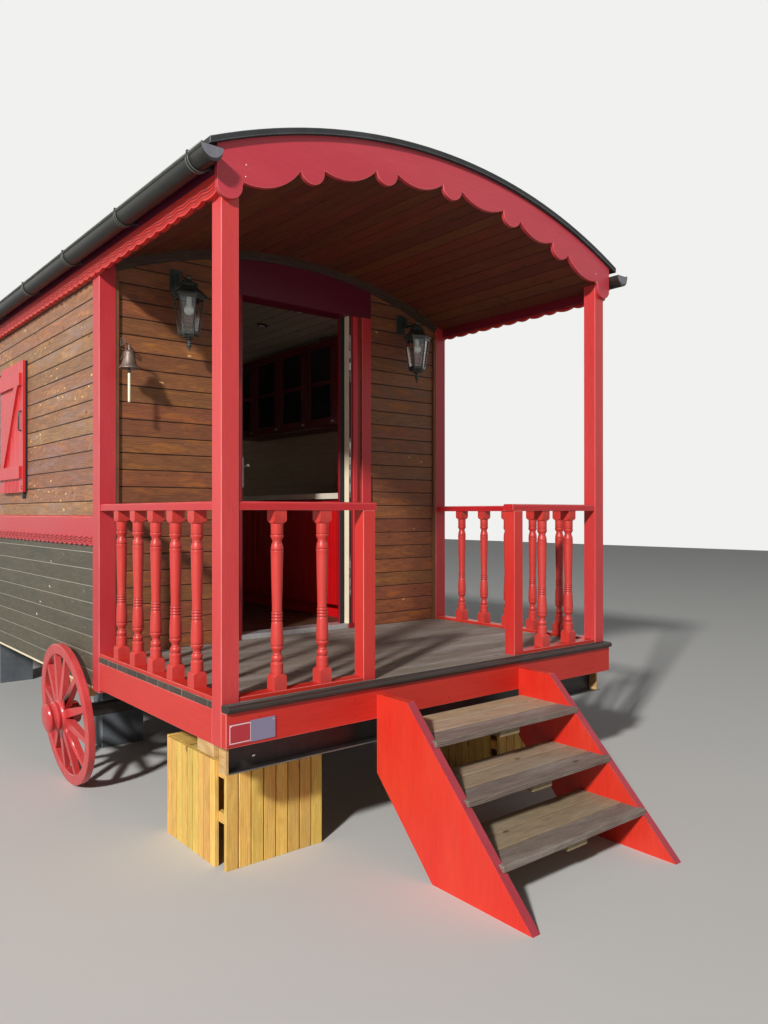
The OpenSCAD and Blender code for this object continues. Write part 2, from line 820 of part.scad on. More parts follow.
module lantern_glass() {
  color([0.85, 0.85, 0.8]) lantern_at() difference() {
    hexcone(1727, 1932, 50.7, 79.6);
    hexcone(1720, 1940, 46, 77);
  }
}

module lantern_bulbs() {
  color([0.95, 0.95, 0.92]) lantern_at() {
    translate([0, 0, 1862]) sphere(d = 54);
    translate([0, 0, 1880]) cylinder(d = 27, h = 52);
  }
}

// Bell with its scrolled wall bracket and its clapper
module door_bell() {
  color([0.6, 0.54, 0.42]) translate([bell_x, 0, 0]) {
    difference() {
      box(-9, 9, front_y - 4, front_y, 1528, 1712);
      for (z = [1542, 1698]) translate([0, front_y + 5, z]) rotate([90, 0, 0]) cylinder(d = 5, h = 20);
    }
    for (r = [[1345, 1672, 22], [1312, 1664, 14]]) translate([-3, r[0], r[1]]) rotate([0, 90, 0])
      difference() {
        cylinder(r = r[2], h = 6);
        translate([0, 0, -1]) cylinder(r = r[2] - 5, h = 8);
      }
    translate([-3, 0, 0]) rotate([90, 0, 90]) linear_extrude(height = 6)
      polygon([[1240, 1640], [1250, 1634], [front_y - 4, 1566], [front_y - 4, 1576], [1252, 1645]]);
    translate([-3, 0, 0]) rotate([90, 0, 90]) linear_extrude(height = 6)
      polygon([[1300, 1650], [front_y - 4, 1650], [front_y - 4, 1656], [1300, 1656]]);
    translate([0, bell_y, 0]) {
      rotate_extrude($fn = 64) polygon([[0, 1638], [6, 1638], [7, 1612], [18, 1608], [25, 1598],
        [30, 1568], [39, 1537], [52, 1518], [52, 1514], [47, 1514], [35, 1535], [26, 1566], [21, 1594],
        [14, 1601], [0, 1602]]);
      rotate_extrude($fn = 32) polygon([[0, 1603], [3, 1603], [3, 1518], [9, 1512], [9, 1496],
        [6, 1490], [0, 1490]]);
    }
  }
}

// Points of one round section about a route point
function section_at(p, r, n) = [for (k = [0 : n - 1]) p + [r * cos(360 * k / n), r * sin(360 * k / n), 0]];

// Round tube with level sections along a route that hangs down
module hanging_tube(route, d, n = 8) {
  last = len(route) - 1;
  polyhedron(points = [for (p = route) each section_at(p, d / 2, n)],
    faces = concat([[for (k = [n - 1 : -1 : 0]) k]], [[for (k = [0 : n - 1]) last * n + k]],
      [for (j = [0 : last - 1], k = [0 : n - 1])
        [j * n + k, j * n + (k + 1) % n, (j + 1) * n + (k + 1) % n, (j + 1) * n + k]]));
}

module bell_rope() {
  color([0.9, 0.88, 0.82]) hanging_tube(rope_route, rope_d);
}

place() floor();
place() left_wall();
place() right_wall();
place() front_wall_left();
place() front_wall_right();
place() front_wall_over_door();
place() rear_wall();
place() porch_ceiling();
place() room_ceiling();
place() roof_shell();
place() front_bargeboard();
place() rear_bargeboard();
place() eave_boards();
place() gutters();
place() corner_boards();
place() corner_laths();
place() belt_rails();
place() porch_deck();
place() deck_nosing();
place() porch_rims();
place() porch_joists();
place() rim_packers();
place() front_fascia();
place() porch_posts();
place() porch_plates();
place() newels();
place() handrails();
place() sole_plates();
place() balusters_front();
place() balusters_side();
place() stringers();
place() treads();
place() tread_cleats();
place() door_casing();
place() door_frame();
place() door_head_board();
place() threshold();
place() cornice();
place() door_leaf();
place() door_handles();
place() hinge_pins();
place() hinge_flags();
place() window_frames();
place() window_glass();
place() shutters();
place() kitchen_base();
place() kitchen_worktop();
place() wall_cupboards();
place() wheels();
place() axles();
place() chassis_beams();
place() end_channels();
place() support_boxes();
place() support_blocks();
place() lanterns();
place() lantern_glass();
place() lantern_bulbs();
place() door_bell();
place() bell_rope();
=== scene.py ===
"""Looks of a shepherds hut on road wheels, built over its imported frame.

The hut stands with its porch towards -Y, its length along +Y and +Z up, in metres. Boards, linings,
mouldings, fittings and finishes are added here. Sizes of new pieces are given in metres from the front of
the porch posts (y = 0) and from the top of the porch deck (z = 0), the way a joiner would measure them, and
one function moves them into the frame.
"""
from __future__ import annotations

import logging
import math
from collections.abc import Callable
from dataclasses import dataclass
from enum import Enum
from typing import Union

import bmesh
import bpy
import numpy as np
from mathutils import Matrix, Vector


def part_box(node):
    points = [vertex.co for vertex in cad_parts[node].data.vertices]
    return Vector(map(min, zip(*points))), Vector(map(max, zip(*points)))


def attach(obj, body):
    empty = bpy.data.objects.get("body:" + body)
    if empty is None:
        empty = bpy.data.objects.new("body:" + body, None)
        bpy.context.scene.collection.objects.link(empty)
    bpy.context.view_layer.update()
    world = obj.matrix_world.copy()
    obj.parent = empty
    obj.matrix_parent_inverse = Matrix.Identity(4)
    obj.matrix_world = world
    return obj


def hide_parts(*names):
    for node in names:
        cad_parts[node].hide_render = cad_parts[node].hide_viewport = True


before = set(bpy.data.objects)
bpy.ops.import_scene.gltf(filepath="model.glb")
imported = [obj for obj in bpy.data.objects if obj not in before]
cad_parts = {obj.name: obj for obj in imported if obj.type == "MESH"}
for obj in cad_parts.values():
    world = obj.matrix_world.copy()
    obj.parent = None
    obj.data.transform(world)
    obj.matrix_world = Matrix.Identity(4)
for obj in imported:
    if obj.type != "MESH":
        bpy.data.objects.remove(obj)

log = logging.getLogger("hut")
# Planes of the hut, off the frame's own pieces, and sizes that several pieces share.
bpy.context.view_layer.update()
POST_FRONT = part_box("porch_posts")[0].y
DECK_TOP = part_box("porch_deck")[1].z
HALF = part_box("porch_posts")[1].x
WALL = abs(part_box("left_wall")[0].x)
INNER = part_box("floor")[1].x
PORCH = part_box("corner_boards")[0].y - POST_FRONT
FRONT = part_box("front_wall_left")[0].y - POST_FRONT
FRONT_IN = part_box("front_wall_left")[1].y - POST_FRONT
REAR_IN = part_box("rear_wall")[0].y - POST_FRONT
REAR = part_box("rear_wall")[1].y - POST_FRONT
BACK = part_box("corner_boards")[1].y - POST_FRONT
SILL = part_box("left_wall")[0].z - DECK_TOP
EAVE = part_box("eave_boards")[0].z - DECK_TOP
EAVE_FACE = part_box("eave_boards")[1].x
GROUND = -DECK_TOP
DOOR_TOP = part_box("door_casing")[1].z - DECK_TOP
WINDOW_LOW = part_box("window_frames")[0].z - DECK_TOP
WINDOW_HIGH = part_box("window_frames")[1].z - DECK_TOP
WINDOW_WIDTH = 1.060
LEFT_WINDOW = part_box("window_frames")[0].y - POST_FRONT
RIGHT_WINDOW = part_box("window_frames")[1].y - POST_FRONT - WINDOW_WIDTH
CEILING_RADIUS = 2.985
ROOF_CENTRE = -0.644
BOARD_PITCH = 0.0914
CORNER_SIDE = 0.097
CORNER_FRONT = 0.090
DOOR_HINGE = (-0.394, 1.505)
DOOR_OPEN = math.radians(60)
DOOR_HOLE = (-0.489, 0.489, -0.1, DOOR_TOP + 0.045)
# How near corners merge, the angles of flat, sharp and bevelled edges, and the upward part of the normals
# of faces that lean back.
MERGE_DISTANCE = 1e-5
FLAT_ANGLE = math.radians(1)
SHARP_ANGLE = math.radians(32)
BEVEL_ANGLE = math.radians(36)
LEANING = (0.3, 0.95)
SIDES = (("left", -1, LEFT_WINDOW), ("right", 1, RIGHT_WINDOW))

Place = Callable[[np.ndarray, np.ndarray, np.ndarray], np.ndarray]
Term = Union[bpy.types.Node, bpy.types.NodeSocket, str, float, tuple]


def into_frame(points: np.ndarray) -> np.ndarray:
    """Moves points measured from the post fronts and the deck top into the frame.

    Args:
        points: array whose last axis is x, y, z.

    Returns:
        The same points in the frame's own axes.
    """
    return np.asarray(points, float) + np.array([0.0, POST_FRONT, DECK_TOP])


def under_arc(radius: float, x: np.ndarray | float) -> np.ndarray | float:
    """Height over the deck of a circle about the roof's centre line: centre + sqrt(radius^2 - x^2)."""
    return ROOF_CENTRE + np.sqrt(radius**2 - np.square(x))


def arc_half_width(z: np.ndarray) -> np.ndarray:
    """Half width of the ceiling at a height: sqrt(radius^2 - (z - centre)^2), and 0 above its crown."""
    return np.sqrt(np.maximum((CEILING_RADIUS - 0.001) ** 2 - np.square(z - ROOF_CENTRE), 0.0))


def linear(code: str) -> tuple[float, float, float, float]:
    """Turns an sRGB hex colour into linear red, green, blue and alpha."""
    levels = np.array([int(code[i : i + 2], 16) for i in (1, 3, 5)]) / 255.0
    curve = np.where(levels <= 0.04045, levels / 12.92, ((levels + 0.055) / 1.055) ** 2.4)
    return (*map(float, curve), 1.0)


def window_hole(start: float) -> tuple[float, float, float, float]:
    """Opening of a side window as start, end, bottom and top."""
    return start, start + WINDOW_WIDTH, WINDOW_LOW, WINDOW_HIGH


def span(start: float, end: float) -> tuple[float, float]:
    """The two ends of a stretch in rising order."""
    return min(start, end), max(start, end)


def ring_angles(sides: int) -> np.ndarray:
    """Angles of points spread evenly round a ring."""
    return np.arange(sides) * 2 * math.pi / sides


class Grain(Enum):
    """Where a wood finish takes the direction of its grain from."""

    X = "x"
    Y = "y"
    Z = "z"
    BOARD = "board"


def stand(name: str, data: bpy.types.ID) -> bpy.types.Object:
    """Makes an object for a mesh, a lamp or a camera and links it into the scene."""
    made = bpy.data.objects.new(name, data)
    bpy.context.scene.collection.objects.link(made)
    return made


def feed(node: bpy.types.Node, *terms: Term, **named: Term) -> None:
    """Sets or links a node's inputs.

    Args:
        node: the node.
        terms: what goes into its live sockets, in order: a number, a hex colour, a socket, or a node for
            its first live output.
        named: the same by a socket's name, with _ for a space.
    """
    live = [socket for socket in node.inputs if socket.enabled]
    pairs = [*zip(live, terms), *((node.inputs[key.replace("_", " ")], term) for key, term in named.items())]
    for socket, term in pairs:
        if isinstance(term, bpy.types.Node):
            term = next(result for result in term.outputs if result.enabled)
        if isinstance(term, bpy.types.NodeSocket):
            node.id_data.links.new(term, socket)
        else:
            socket.default_value = linear(term) if isinstance(term, str) else term


def add_node(tree: bpy.types.NodeTree, kind: str, *terms: Term, stops: tuple = (), **settings) -> bpy.types.Node:
    """Adds a node with its settings and its links.

    Args:
        tree: the material's node tree.
        kind: the node's type without the ShaderNode prefix.
        terms: what goes into its live sockets, in order.
        stops: a colour ramp's stops, each a position and a hex colour or a grey level.
        settings: properties by their own lower-case names, and inputs by their sockets' names.

    Returns:
        The new node.
    """
    node = tree.nodes.new("ShaderNode" + kind)
    for key in filter(str.islower, settings):
        setattr(node, key, settings[key])
    feed(node, *terms, **{key: term for key, term in settings.items() if not key.islower()})
    if stops:
        band = node.color_ramp.elements
        while len(band) < len(stops):
            band.new(0.5)
        for element, (place, tone) in zip(band, stops):
            element.position = place
            element.color = linear(tone) if isinstance(tone, str) else (tone, tone, tone, 1.0)
    return node


def grain_vector(tree: bpy.types.NodeTree, grain: Grain) -> Term:
    """Vector of (along the grain, across it, depth), in metres.

    Args:
        tree: the material's node tree.
        grain: BOARD for the piece's own board attribute, or the object's axis that the grain follows.

    Returns:
        The socket or node that gives the vector.
    """
    if grain is Grain.BOARD:
        return add_node(tree, "Attribute", attribute_name="board").outputs["Vector"]
    place = add_node(tree, "TexCoord").outputs["Object"]
    turn = {Grain.X: (0, 0, 0), Grain.Y: (0, 0, -math.pi / 2), Grain.Z: (0, math.pi / 2, 0)}[grain]
    return add_node(tree, "Mapping", place, Rotation=turn)


def clouds(tree: bpy.types.NodeTree, vector: Term, stretch: tuple[float, float, float], detail: float = 4.0,
           roughness: float = 0.6, distortion: float = 0.0) -> bpy.types.Node:
    """Soft cloudy pattern whose features repeat about stretch times a metre along each axis."""
    scaled = add_node(tree, "Mapping", vector, Scale=stretch)
    return add_node(tree, "TexNoise", scaled, Scale=1.0, Detail=detail, Roughness=roughness, Distortion=distortion)


def spots(tree: bpy.types.NodeTree, vector: Term, per_metre: tuple[float, float], radius: float,
          share: Term) -> bpy.types.Node:
    """Scattered round spots, 1 in the middle and 0 at the rim.

    Args:
        tree: the material's node tree.
        vector: place in metres.
        per_metre: cells a metre along and across the grain.
        radius: rim of a spot as a share of its cell.
        share: share of the cells that have a spot.

    Returns:
        The node that gives the spots.
    """
    scaled = add_node(tree, "Mapping", vector, Scale=(*per_metre, 1.0))
    cells = add_node(tree, "TexVoronoi", scaled, voronoi_dimensions="2D", Scale=1.0, Randomness=0.85)
    near = add_node(tree, "Math", cells.outputs["Distance"], -1.0 / radius, 1.0, operation="MULTIPLY_ADD")
    inside = add_node(tree, "Math", near, 0.0, operation="MAXIMUM")
    lot = add_node(tree, "SeparateColor", cells.outputs["Color"])
    chosen = add_node(tree, "Math", lot, share, operation="LESS_THAN")
    return add_node(tree, "Math", inside, chosen, operation="MULTIPLY")


@dataclass(frozen=True)
class Finish:
    """What every finish has: a name and the slot of the record that it stands for."""

    name: str
    slot: str

    def shade(self, tree: bpy.types.NodeTree, shader: bpy.types.Node) -> None:
        """Builds the finish's patterns and feeds them to the shader.

        Args:
            tree: the material's node tree.
            shader: its principled shader.
        """
        raise NotImplementedError

    def material(self) -> bpy.types.Material:
        """The finish as a material, made once."""
        made = bpy.data.materials.get(self.name)
        if made is None:
            made = bpy.data.materials.new(self.name)
            made.use_nodes = True
            self.shade(made.node_tree, made.node_tree.nodes["Principled BSDF"])
        return made


@dataclass(frozen=True)
class GlossPaint(Finish):
    """Brushed alkyd paint on planed softwood: a glossy skin over faint brush marks and raised grain."""

    colour: str
    faded: str
    grain: Grain = Grain.Z
    roughness: float = 0.38
    bump: float = 0.0004

    def shade(self, tree: bpy.types.NodeTree, shader: bpy.types.Node) -> None:
        """Paint whose tone wanders over half a metre, with brush marks 2 mm apart along the grain."""
        vector = grain_vector(tree, self.grain)
        cloud = clouds(tree, vector, (1.1, 5.0, 5.0), 5.0, 0.65)
        brush = clouds(tree, vector, (6.0, 420.0, 420.0), 3.0, 0.55)
        fibre = clouds(tree, vector, (9.0, 130.0, 130.0), 5.0, 0.6, 0.4)
        worn = add_node(tree, "ValToRGB", cloud, stops=((0.40, 0.0), (0.66, 1.0)))
        base = add_node(tree, "Mix", worn, self.colour, self.faded, data_type="RGBA")
        streak = add_node(tree, "ValToRGB", fibre, stops=((0.30, "#D0BEBE"), (0.60, "#FFFFFF")))
        tone = add_node(tree, "Mix", 0.28, base, streak, data_type="RGBA", blend_type="MULTIPLY")
        rough = add_node(tree, "Math", cloud, 0.22, self.roughness - 0.08, operation="MULTIPLY_ADD")
        relief = add_node(tree, "Math", brush, 0.5, fibre, operation="MULTIPLY_ADD")
        bump = add_node(tree, "Bump", Strength=0.55, Distance=self.bump, Height=relief)
        feed(shader, Base_Color=tone, Roughness=rough, IOR=1.5, Normal=bump)


@dataclass(frozen=True)
class SawnWood(Finish):
    """Flat-sawn softwood with growth rings, fibres, patches, knots and resin flecks, raw, oiled or stained."""

    base: str
    late: str
    pale: str
    patch: str
    knot: str = "#6B3A1A"
    fleck: str = "#F0CE8C"
    joint: str = "#2A150B"
    grain: Grain = Grain.BOARD
    knots: float = 0.12
    flecks: float = 0.0
    rings: float = 0.5
    patches: float = 0.6
    mottle: float = 0.3
    tone_spread: float = 0.3
    hue_spread: float = 0.02
    roughness: float = 0.6
    gloss_spread: float = 0.25
    bump: float = 0.0006
    joint_width: float = 0.0
    weather_and_sheen: str | None = None
    weather_and_sheen_share: float = 0.0

    def ring_pattern(self, tree: bpy.types.NodeTree, vector: Term, across: Term, knot: Term) -> bpy.types.Node:
        """Growth rings 8 mm apart, as a sine across the grain that wanders and bends round the knots.

        Args:
            tree: the material's node tree.
            vector: place in metres.
            across: its second part, the place across the grain.
            knot: the knots.

        Returns:
            The node that gives the rings.
        """
        wander = clouds(tree, vector, (1.3, 7.0, 7.0), 3.0, 0.5)
        bent = add_node(tree, "Math", wander, 0.055, across, operation="MULTIPLY_ADD")
        bent = add_node(tree, "Math", knot, 0.014, bent, operation="MULTIPLY_ADD")
        phase = add_node(tree, "Math", bent, 2 * math.pi / 0.008, operation="MULTIPLY")
        wave = add_node(tree, "Math", phase, operation="SINE")
        return add_node(tree, "Math", wave, 0.5 * self.rings, 0.5, operation="MULTIPLY_ADD")

    def lifted_stain(self, tree: bpy.types.NodeTree, vector: Term, tone: Term) -> bpy.types.Node:
        """Pale strokes and irregular flecks, in clusters 0.4 m long, where the stain has lifted.

        Args:
            tree: the material's node tree.
            vector: place in metres.
            tone: the colour of the wood.

        Returns:
            The node that gives the colour with its flecks.
        """
        cluster = clouds(tree, vector, (2.6, 9.0, 9.0), 3.0, 0.6)
        gathered = add_node(tree, "ValToRGB", cluster, stops=((0.50, 0.03), (0.62, 1.0)))
        wanted = add_node(tree, "Math", gathered, self.flecks, operation="MULTIPLY")
        turned = add_node(tree, "Mapping", vector, Rotation=(0.0, 0.0, 0.35))
        streaks = clouds(tree, turned, (16.0, 120.0, 9.0), 3.0, 0.6)
        stroke = add_node(tree, "ValToRGB", streaks, stops=((0.56, 0.0), (0.66, 0.85)))
        stroke = add_node(tree, "Math", stroke, wanted, operation="MULTIPLY")
        tone = add_node(tree, "Mix", stroke, tone, self.fleck, data_type="RGBA")
        swirl = add_node(tree, "TexNoise", vector, Scale=38.0, Detail=3.0).outputs["Color"]
        moved = add_node(tree, "VectorMath", swirl, (0.03, 0.03, 0.0), vector, operation="MULTIPLY_ADD")
        share = add_node(tree, "Math", wanted, 0.42, operation="MULTIPLY")
        fleck = spots(tree, moved, (9.0, 24.0), 0.17, share)
        fleck = add_node(tree, "ValToRGB", fleck, stops=((0.10, 0.0), (0.5, 0.95)))
        return add_node(tree, "Mix", fleck, tone, self.fleck, data_type="RGBA")

    def board_lots(self, tree: bpy.types.NodeTree, lot: Term, tone: Term) -> bpy.types.Node:
        """A tone and a hue of each board's own.

        Args:
            tree: the material's node tree.
            lot: the third part of the board attribute, between 0 and 1.
            tone: the colour of the wood.

        Returns:
            The node that gives the board's colour.
        """
        value = add_node(tree, "Math", lot, self.tone_spread, 1.0 - self.tone_spread / 2, operation="MULTIPLY_ADD")
        other = add_node(tree, "Math", lot, 7.31, operation="MULTIPLY")
        other = add_node(tree, "Math", other, operation="FRACT")
        hue = add_node(tree, "Math", other, self.hue_spread, 0.5 - self.hue_spread / 2, operation="MULTIPLY_ADD")
        return add_node(tree, "HueSaturation", Hue=hue, Value=value, Color=tone)

    def shade(self, tree: bpy.types.NodeTree, shader: bpy.types.Node) -> None:
        """Rings, knots up to 50 mm long, fibres 4 mm apart, patches 60 mm wide, and a tone a board."""
        vector = grain_vector(tree, self.grain)
        parts = add_node(tree, "SeparateXYZ", vector)
        knot = spots(tree, vector, (5.2, 10.0), 0.13, self.knots)
        ring = self.ring_pattern(tree, vector, parts.outputs["Y"], knot)
        fibre = clouds(tree, vector, (7.0, 260.0, 260.0), 4.0, 0.65, 0.3)
        mottle = clouds(tree, vector, (11.0, 36.0, 36.0), 5.0, 0.6, 0.6)
        blotch = clouds(tree, vector, (4.4, 17.0, 17.0), 5.0, 0.7, 0.5)
        coarse = add_node(tree, "Math", ring, 0.36, operation="MULTIPLY")
        fine = add_node(tree, "Math", fibre, 0.64, operation="MULTIPLY")
        mixed = add_node(tree, "Math", coarse, fine, operation="ADD")
        tone = add_node(tree, "ValToRGB", mixed, stops=((0.26, self.late), (0.50, self.base), (0.76, self.pale)))
        patched = add_node(tree, "ValToRGB", blotch, stops=((0.52, 0.0), (0.68, self.patches)))
        tone = add_node(tree, "Mix", patched, tone, self.patch, data_type="RGBA")
        value = add_node(tree, "Math", mottle, 2 * self.mottle, 1.0 - self.mottle, operation="MULTIPLY_ADD")
        tone = add_node(tree, "HueSaturation", Value=value, Color=tone)
        # Grey patches: weathering on the deck and treads, and a painted sheen on the brown siding.
        if self.weather_and_sheen:
            grey = clouds(tree, vector, (1.6, 9.0, 9.0), 6.0, 0.7)
            grey = add_node(tree, "ValToRGB", grey, stops=((0.62 - self.weather_and_sheen_share, 0.0),
                                                           (0.92 - self.weather_and_sheen_share, 1.0)))
            tone = add_node(tree, "Mix", grey, tone, self.weather_and_sheen, data_type="RGBA")
        knotted = add_node(tree, "ValToRGB", knot, stops=((0.05, 0.0), (0.5, 0.8)))
        tone = add_node(tree, "Mix", knotted, tone, self.knot, data_type="RGBA")
        if self.flecks:
            tone = self.lifted_stain(tree, vector, tone)
        if self.grain is Grain.BOARD:
            tone = self.board_lots(tree, parts.outputs["Z"], tone)
        if self.joint_width:
            edge = add_node(tree, "Attribute", attribute_name="edge").outputs["Fac"]
            dark = add_node(tree, "Math", edge, self.joint_width, operation="LESS_THAN")
            dark = add_node(tree, "Math", dark, 0.9, operation="MULTIPLY")
            tone = add_node(tree, "Mix", dark, tone, self.joint, data_type="RGBA")
        rough = add_node(tree, "Math", blotch, 2 * self.gloss_spread, self.roughness - self.gloss_spread,
                         operation="MULTIPLY_ADD")
        relief = add_node(tree, "Math", ring, 0.35, fibre, operation="MULTIPLY_ADD")
        bump = add_node(tree, "Bump", Strength=0.6, Distance=self.bump, Height=relief)
        feed(shader, Base_Color=tone, Roughness=rough, Normal=bump)


@dataclass(frozen=True)
class Metal(Finish):
    """Metal, bare or painted, with a fine texture, stains and a dulled share."""

    colour: str
    stain: str
    metallic: float = 0.0
    roughness: float = 0.45
    speck: float = 260.0
    bump: float = 0.00025
    stain_share: float = 0.35

    def shade(self, tree: bpy.types.NodeTree, shader: bpy.types.Node) -> None:
        """A base tone, stains about 60 mm across and a hammered or sprayed skin 4 mm apart."""
        vector = add_node(tree, "TexCoord").outputs["Object"]
        patch = clouds(tree, vector, (14.0, 14.0, 14.0), 6.0, 0.7)
        fine = clouds(tree, vector, (self.speck,) * 3, 3.0, 0.5)
        share = add_node(tree, "ValToRGB", patch, stops=((0.72 - self.stain_share, 0.0),
                                                         (0.95 - self.stain_share, 1.0)))
        tone = add_node(tree, "Mix", share, self.colour, self.stain, data_type="RGBA")
        rough = add_node(tree, "Math", patch, 0.25, self.roughness - 0.12, operation="MULTIPLY_ADD")
        bump = add_node(tree, "Bump", Strength=0.4, Distance=self.bump, Height=fine)
        feed(shader, Base_Color=tone, Metallic=self.metallic, Roughness=rough, Normal=bump)


@dataclass(frozen=True)
class Granular(Finish):
    """Cast or coated surface with grains, such as concrete blocks or mineral roof felt."""

    colour: str
    speckle: str
    grit: float = 350.0
    roughness: float = 0.9
    bump: float = 0.0012

    def shade(self, tree: bpy.types.NodeTree, shader: bpy.types.Node) -> None:
        """Two tones mixed by grit 3 mm apart and by clouds a hand wide."""
        vector = add_node(tree, "TexCoord").outputs["Object"]
        grit = clouds(tree, vector, (self.grit,) * 3, 2.0, 0.5)
        cloud = clouds(tree, vector, (6.0, 6.0, 6.0), 6.0, 0.65)
        grains = add_node(tree, "Math", grit, 0.4, operation="MULTIPLY")
        mixed = add_node(tree, "Math", cloud, 0.6, grains, operation="MULTIPLY_ADD")
        tone = add_node(tree, "ValToRGB", mixed, stops=((0.36, self.speckle), (0.62, self.colour)))
        bump = add_node(tree, "Bump", Strength=0.6, Distance=self.bump, Height=mixed)
        feed(shader, Base_Color=tone, Roughness=self.roughness, Normal=bump)


@dataclass(frozen=True)
class Smooth(Finish):
    """Moulded, laminated or glazed surface with faint clouding and small scratches."""

    colour: str
    shade_colour: str
    roughness: float = 0.35
    transmission: float = 0.0
    ior: float = 1.5

    def shade(self, tree: bpy.types.NodeTree, shader: bpy.types.Node) -> None:
        """Clouds a few centimetres wide move the tone, and fine scratches move the gloss."""
        vector = add_node(tree, "TexCoord").outputs["Object"]
        cloud = clouds(tree, vector, (9.0, 9.0, 9.0), 4.0, 0.6)
        scratch = clouds(tree, vector, (40.0, 40.0, 600.0), 3.0, 0.6)
        tone = add_node(tree, "Mix", cloud, self.shade_colour, self.colour, data_type="RGBA")
        rough = add_node(tree, "Math", scratch, 0.12, max(self.roughness - 0.06, 0.0), operation="MULTIPLY_ADD")
        feed(shader, Base_Color=tone, Roughness=rough, IOR=self.ior, Transmission_Weight=self.transmission)


# Alkyd gloss paint on door, shutters and casing: a clear crimson with soft lights.
RED_UP = GlossPaint("red_paint_upright", "red_paint", "#C6262C", "#CC3438", Grain.Z)
# The same paint on the corner boards, a little cooler and thinner.
RED_CORNER = GlossPaint("red_paint_corner", "red_paint", "#BC2A30", "#C0363C", Grain.Z)
# Paint on the porch posts: pinker, partly as a painted sheen of the sky on their lit faces, with pale brush marks.
RED_POST = GlossPaint("red_paint_post", "red_paint", "#CA3A3A", "#CE4242", Grain.Z)
# Newel posts, a warmer red where hands keep the paint clean.
RED_NEWEL = GlossPaint("red_paint_newel", "red_paint", "#CE2E28", "#D23A30", Grain.Z)
# Fascia and sole plates: warm scarlet, brushed across the hut.
RED_X = GlossPaint("red_paint_across", "red_paint", "#C4281C", "#CA3426", Grain.X)
# Rims and eave boards: warm scarlet, brushed along the hut.
RED_Y = GlossPaint("red_paint_along", "red_paint", "#C82A24", "#CC362E", Grain.Y)
# Belt rails: a cooler red, flattened by rain off the boards.
RED_BELT = GlossPaint("red_paint_belt", "red_paint", "#BE222A", "#C42E34", Grain.Y)
# Bargeboards, chalked by the weather to a dusty rose red.
RED_BARGE = GlossPaint("red_paint_bargeboard", "red_paint", "#BE3442", "#C4404C", Grain.X)
# Handrails: deep red, rubbed smooth.
RED_RAIL = GlossPaint("red_paint_handrail", "red_paint", "#BD2026", "#C42C30", Grain.X)
# Turned balusters: a warm red whose lights run round the beads.
RED_TURNED = GlossPaint("red_paint_turned", "red_paint", "#C7362E", "#CA423A", Grain.Z)
# Stringers, the newest coat: a bright orange red.
RED_STEP = GlossPaint("red_paint_stringer", "red_paint", "#D92D1E", "#DC3C28", Grain.Z)
# Hard enamel on the wheels: glossy, its paler pink patches a painted highlight.
RED_WHEEL = GlossPaint("red_paint_wheel", "red_wheels", "#C43A3C", "#D0504E", Grain.Z, 0.24)
# Paler edges: paint worn thin by hands and weather, lightened further as a painted highlight where the edges catch
# the light.
RED_ARRIS_WEAR_AND_HIGHLIGHT = GlossPaint("red_paint_worn_and_lit_arris", "red_paint", "#D24A44", "#E08078")
# Edges of the stringers, kicked down to the pink-white undercoat.
RED_CHIPPED = GlossPaint("red_paint_chipped_arris", "red_paint", "#E48C84", "#FAE0DA")
# Faces of the stringers that lean back: a darker crimson.
RED_EDGE = GlossPaint("red_paint_step_edge", "red_paint", "#A02232", "#AE3442", Grain.Z)
# Door frame, half in shade: dark crimson, darkened all over as painted shade.
RED_DARK_SHADE = GlossPaint("red_paint_frame_shade", "red_paint", "#900E1A", "#9C1824")
# Head board over the door: plum, a painted shade of the porch roof.
RED_HEAD_SHADE = GlossPaint("red_paint_head_board_shade", "red_paint", "#5A0820", "#640C26", Grain.X)
# Plates under the porch ceiling: dull maroon, darkened as painted shade.
RED_INNER_SHADE = GlossPaint("red_paint_inner_plate_shade", "red_paint", "#701020", "#7A1828", Grain.Y)
# Eave boards under the gutter: plum, a painted shadow of the gutter.
RED_GUTTER_SHADE = GlossPaint("red_paint_gutter_shade", "red_paint", "#561026", "#621A32", Grain.Y)
# Pine boards in worn brown stain: orange boards, mauve-grey patches that are a painted sheen of the sky, cream flecks
# where it has lifted.
BROWN_SIDING = SawnWood("brown_stained_pine", "stained_boards", base="#8B5E42", late="#5A3824", pale="#B08862",
                        patch="#C2814A", joint="#1E0C06", fleck="#EBBE7A", weather_and_sheen="#9C8684",
                        weather_and_sheen_share=0.10, flecks=0.6, mottle=0.44, joint_width=0.0060)
# The same stain under the porch roof, where it has stayed warm and even; darkened in part as painted shade of the
# roof.
WARM_SIDING = SawnWood("warm_stained_pine", "stained_boards", base="#7E4B2D", late="#502A17", pale="#966038",
                       patch="#B06C2C", knot="#6A3314", joint="#180A05", fleck="#DCAE6E", flecks=0.10, mottle=0.44,
                       joint_width=0.0058)
# Charcoal stain on the lower boards; the pale lines in the joints are a painted highlight where the bevels catch the
# light.
CHARCOAL_SIDING = SawnWood("charcoal_stained_pine", "stained_boards", base="#504A3A", late="#3A3529",
                           knot="#6E6B60", fleck="#E4DEC8", pale="#6C6652", patch="#4C4E44", joint="#C0BBAC",
                           knots=0.12, flecks=0.10, rings=0.3, patches=0.8, tone_spread=0.16,
                           joint_width=0.0052)
# Sawn wall timber behind the boards: dark brown, seen only in joints.
WALL_CORE = SawnWood("dark_wall_core", "stained_boards", base="#3A261A", late="#2A1A11", pale="#4A3223",
                     patch="#46301F", grain=Grain.Y, knots=0.0, rings=0.2)
# Stained and varnished porch ceiling: deep red-brown with a low sheen, darkened in part as painted shade of the roof.
CEILING_WOOD = SawnWood("brown_stained_ceiling", "porch_ceiling_boards", base="#5E2810", late="#3A1808",
                        pale="#743816", patch="#6E3614", knot="#2E150D", knots=0.3, joint_width=0.0030)
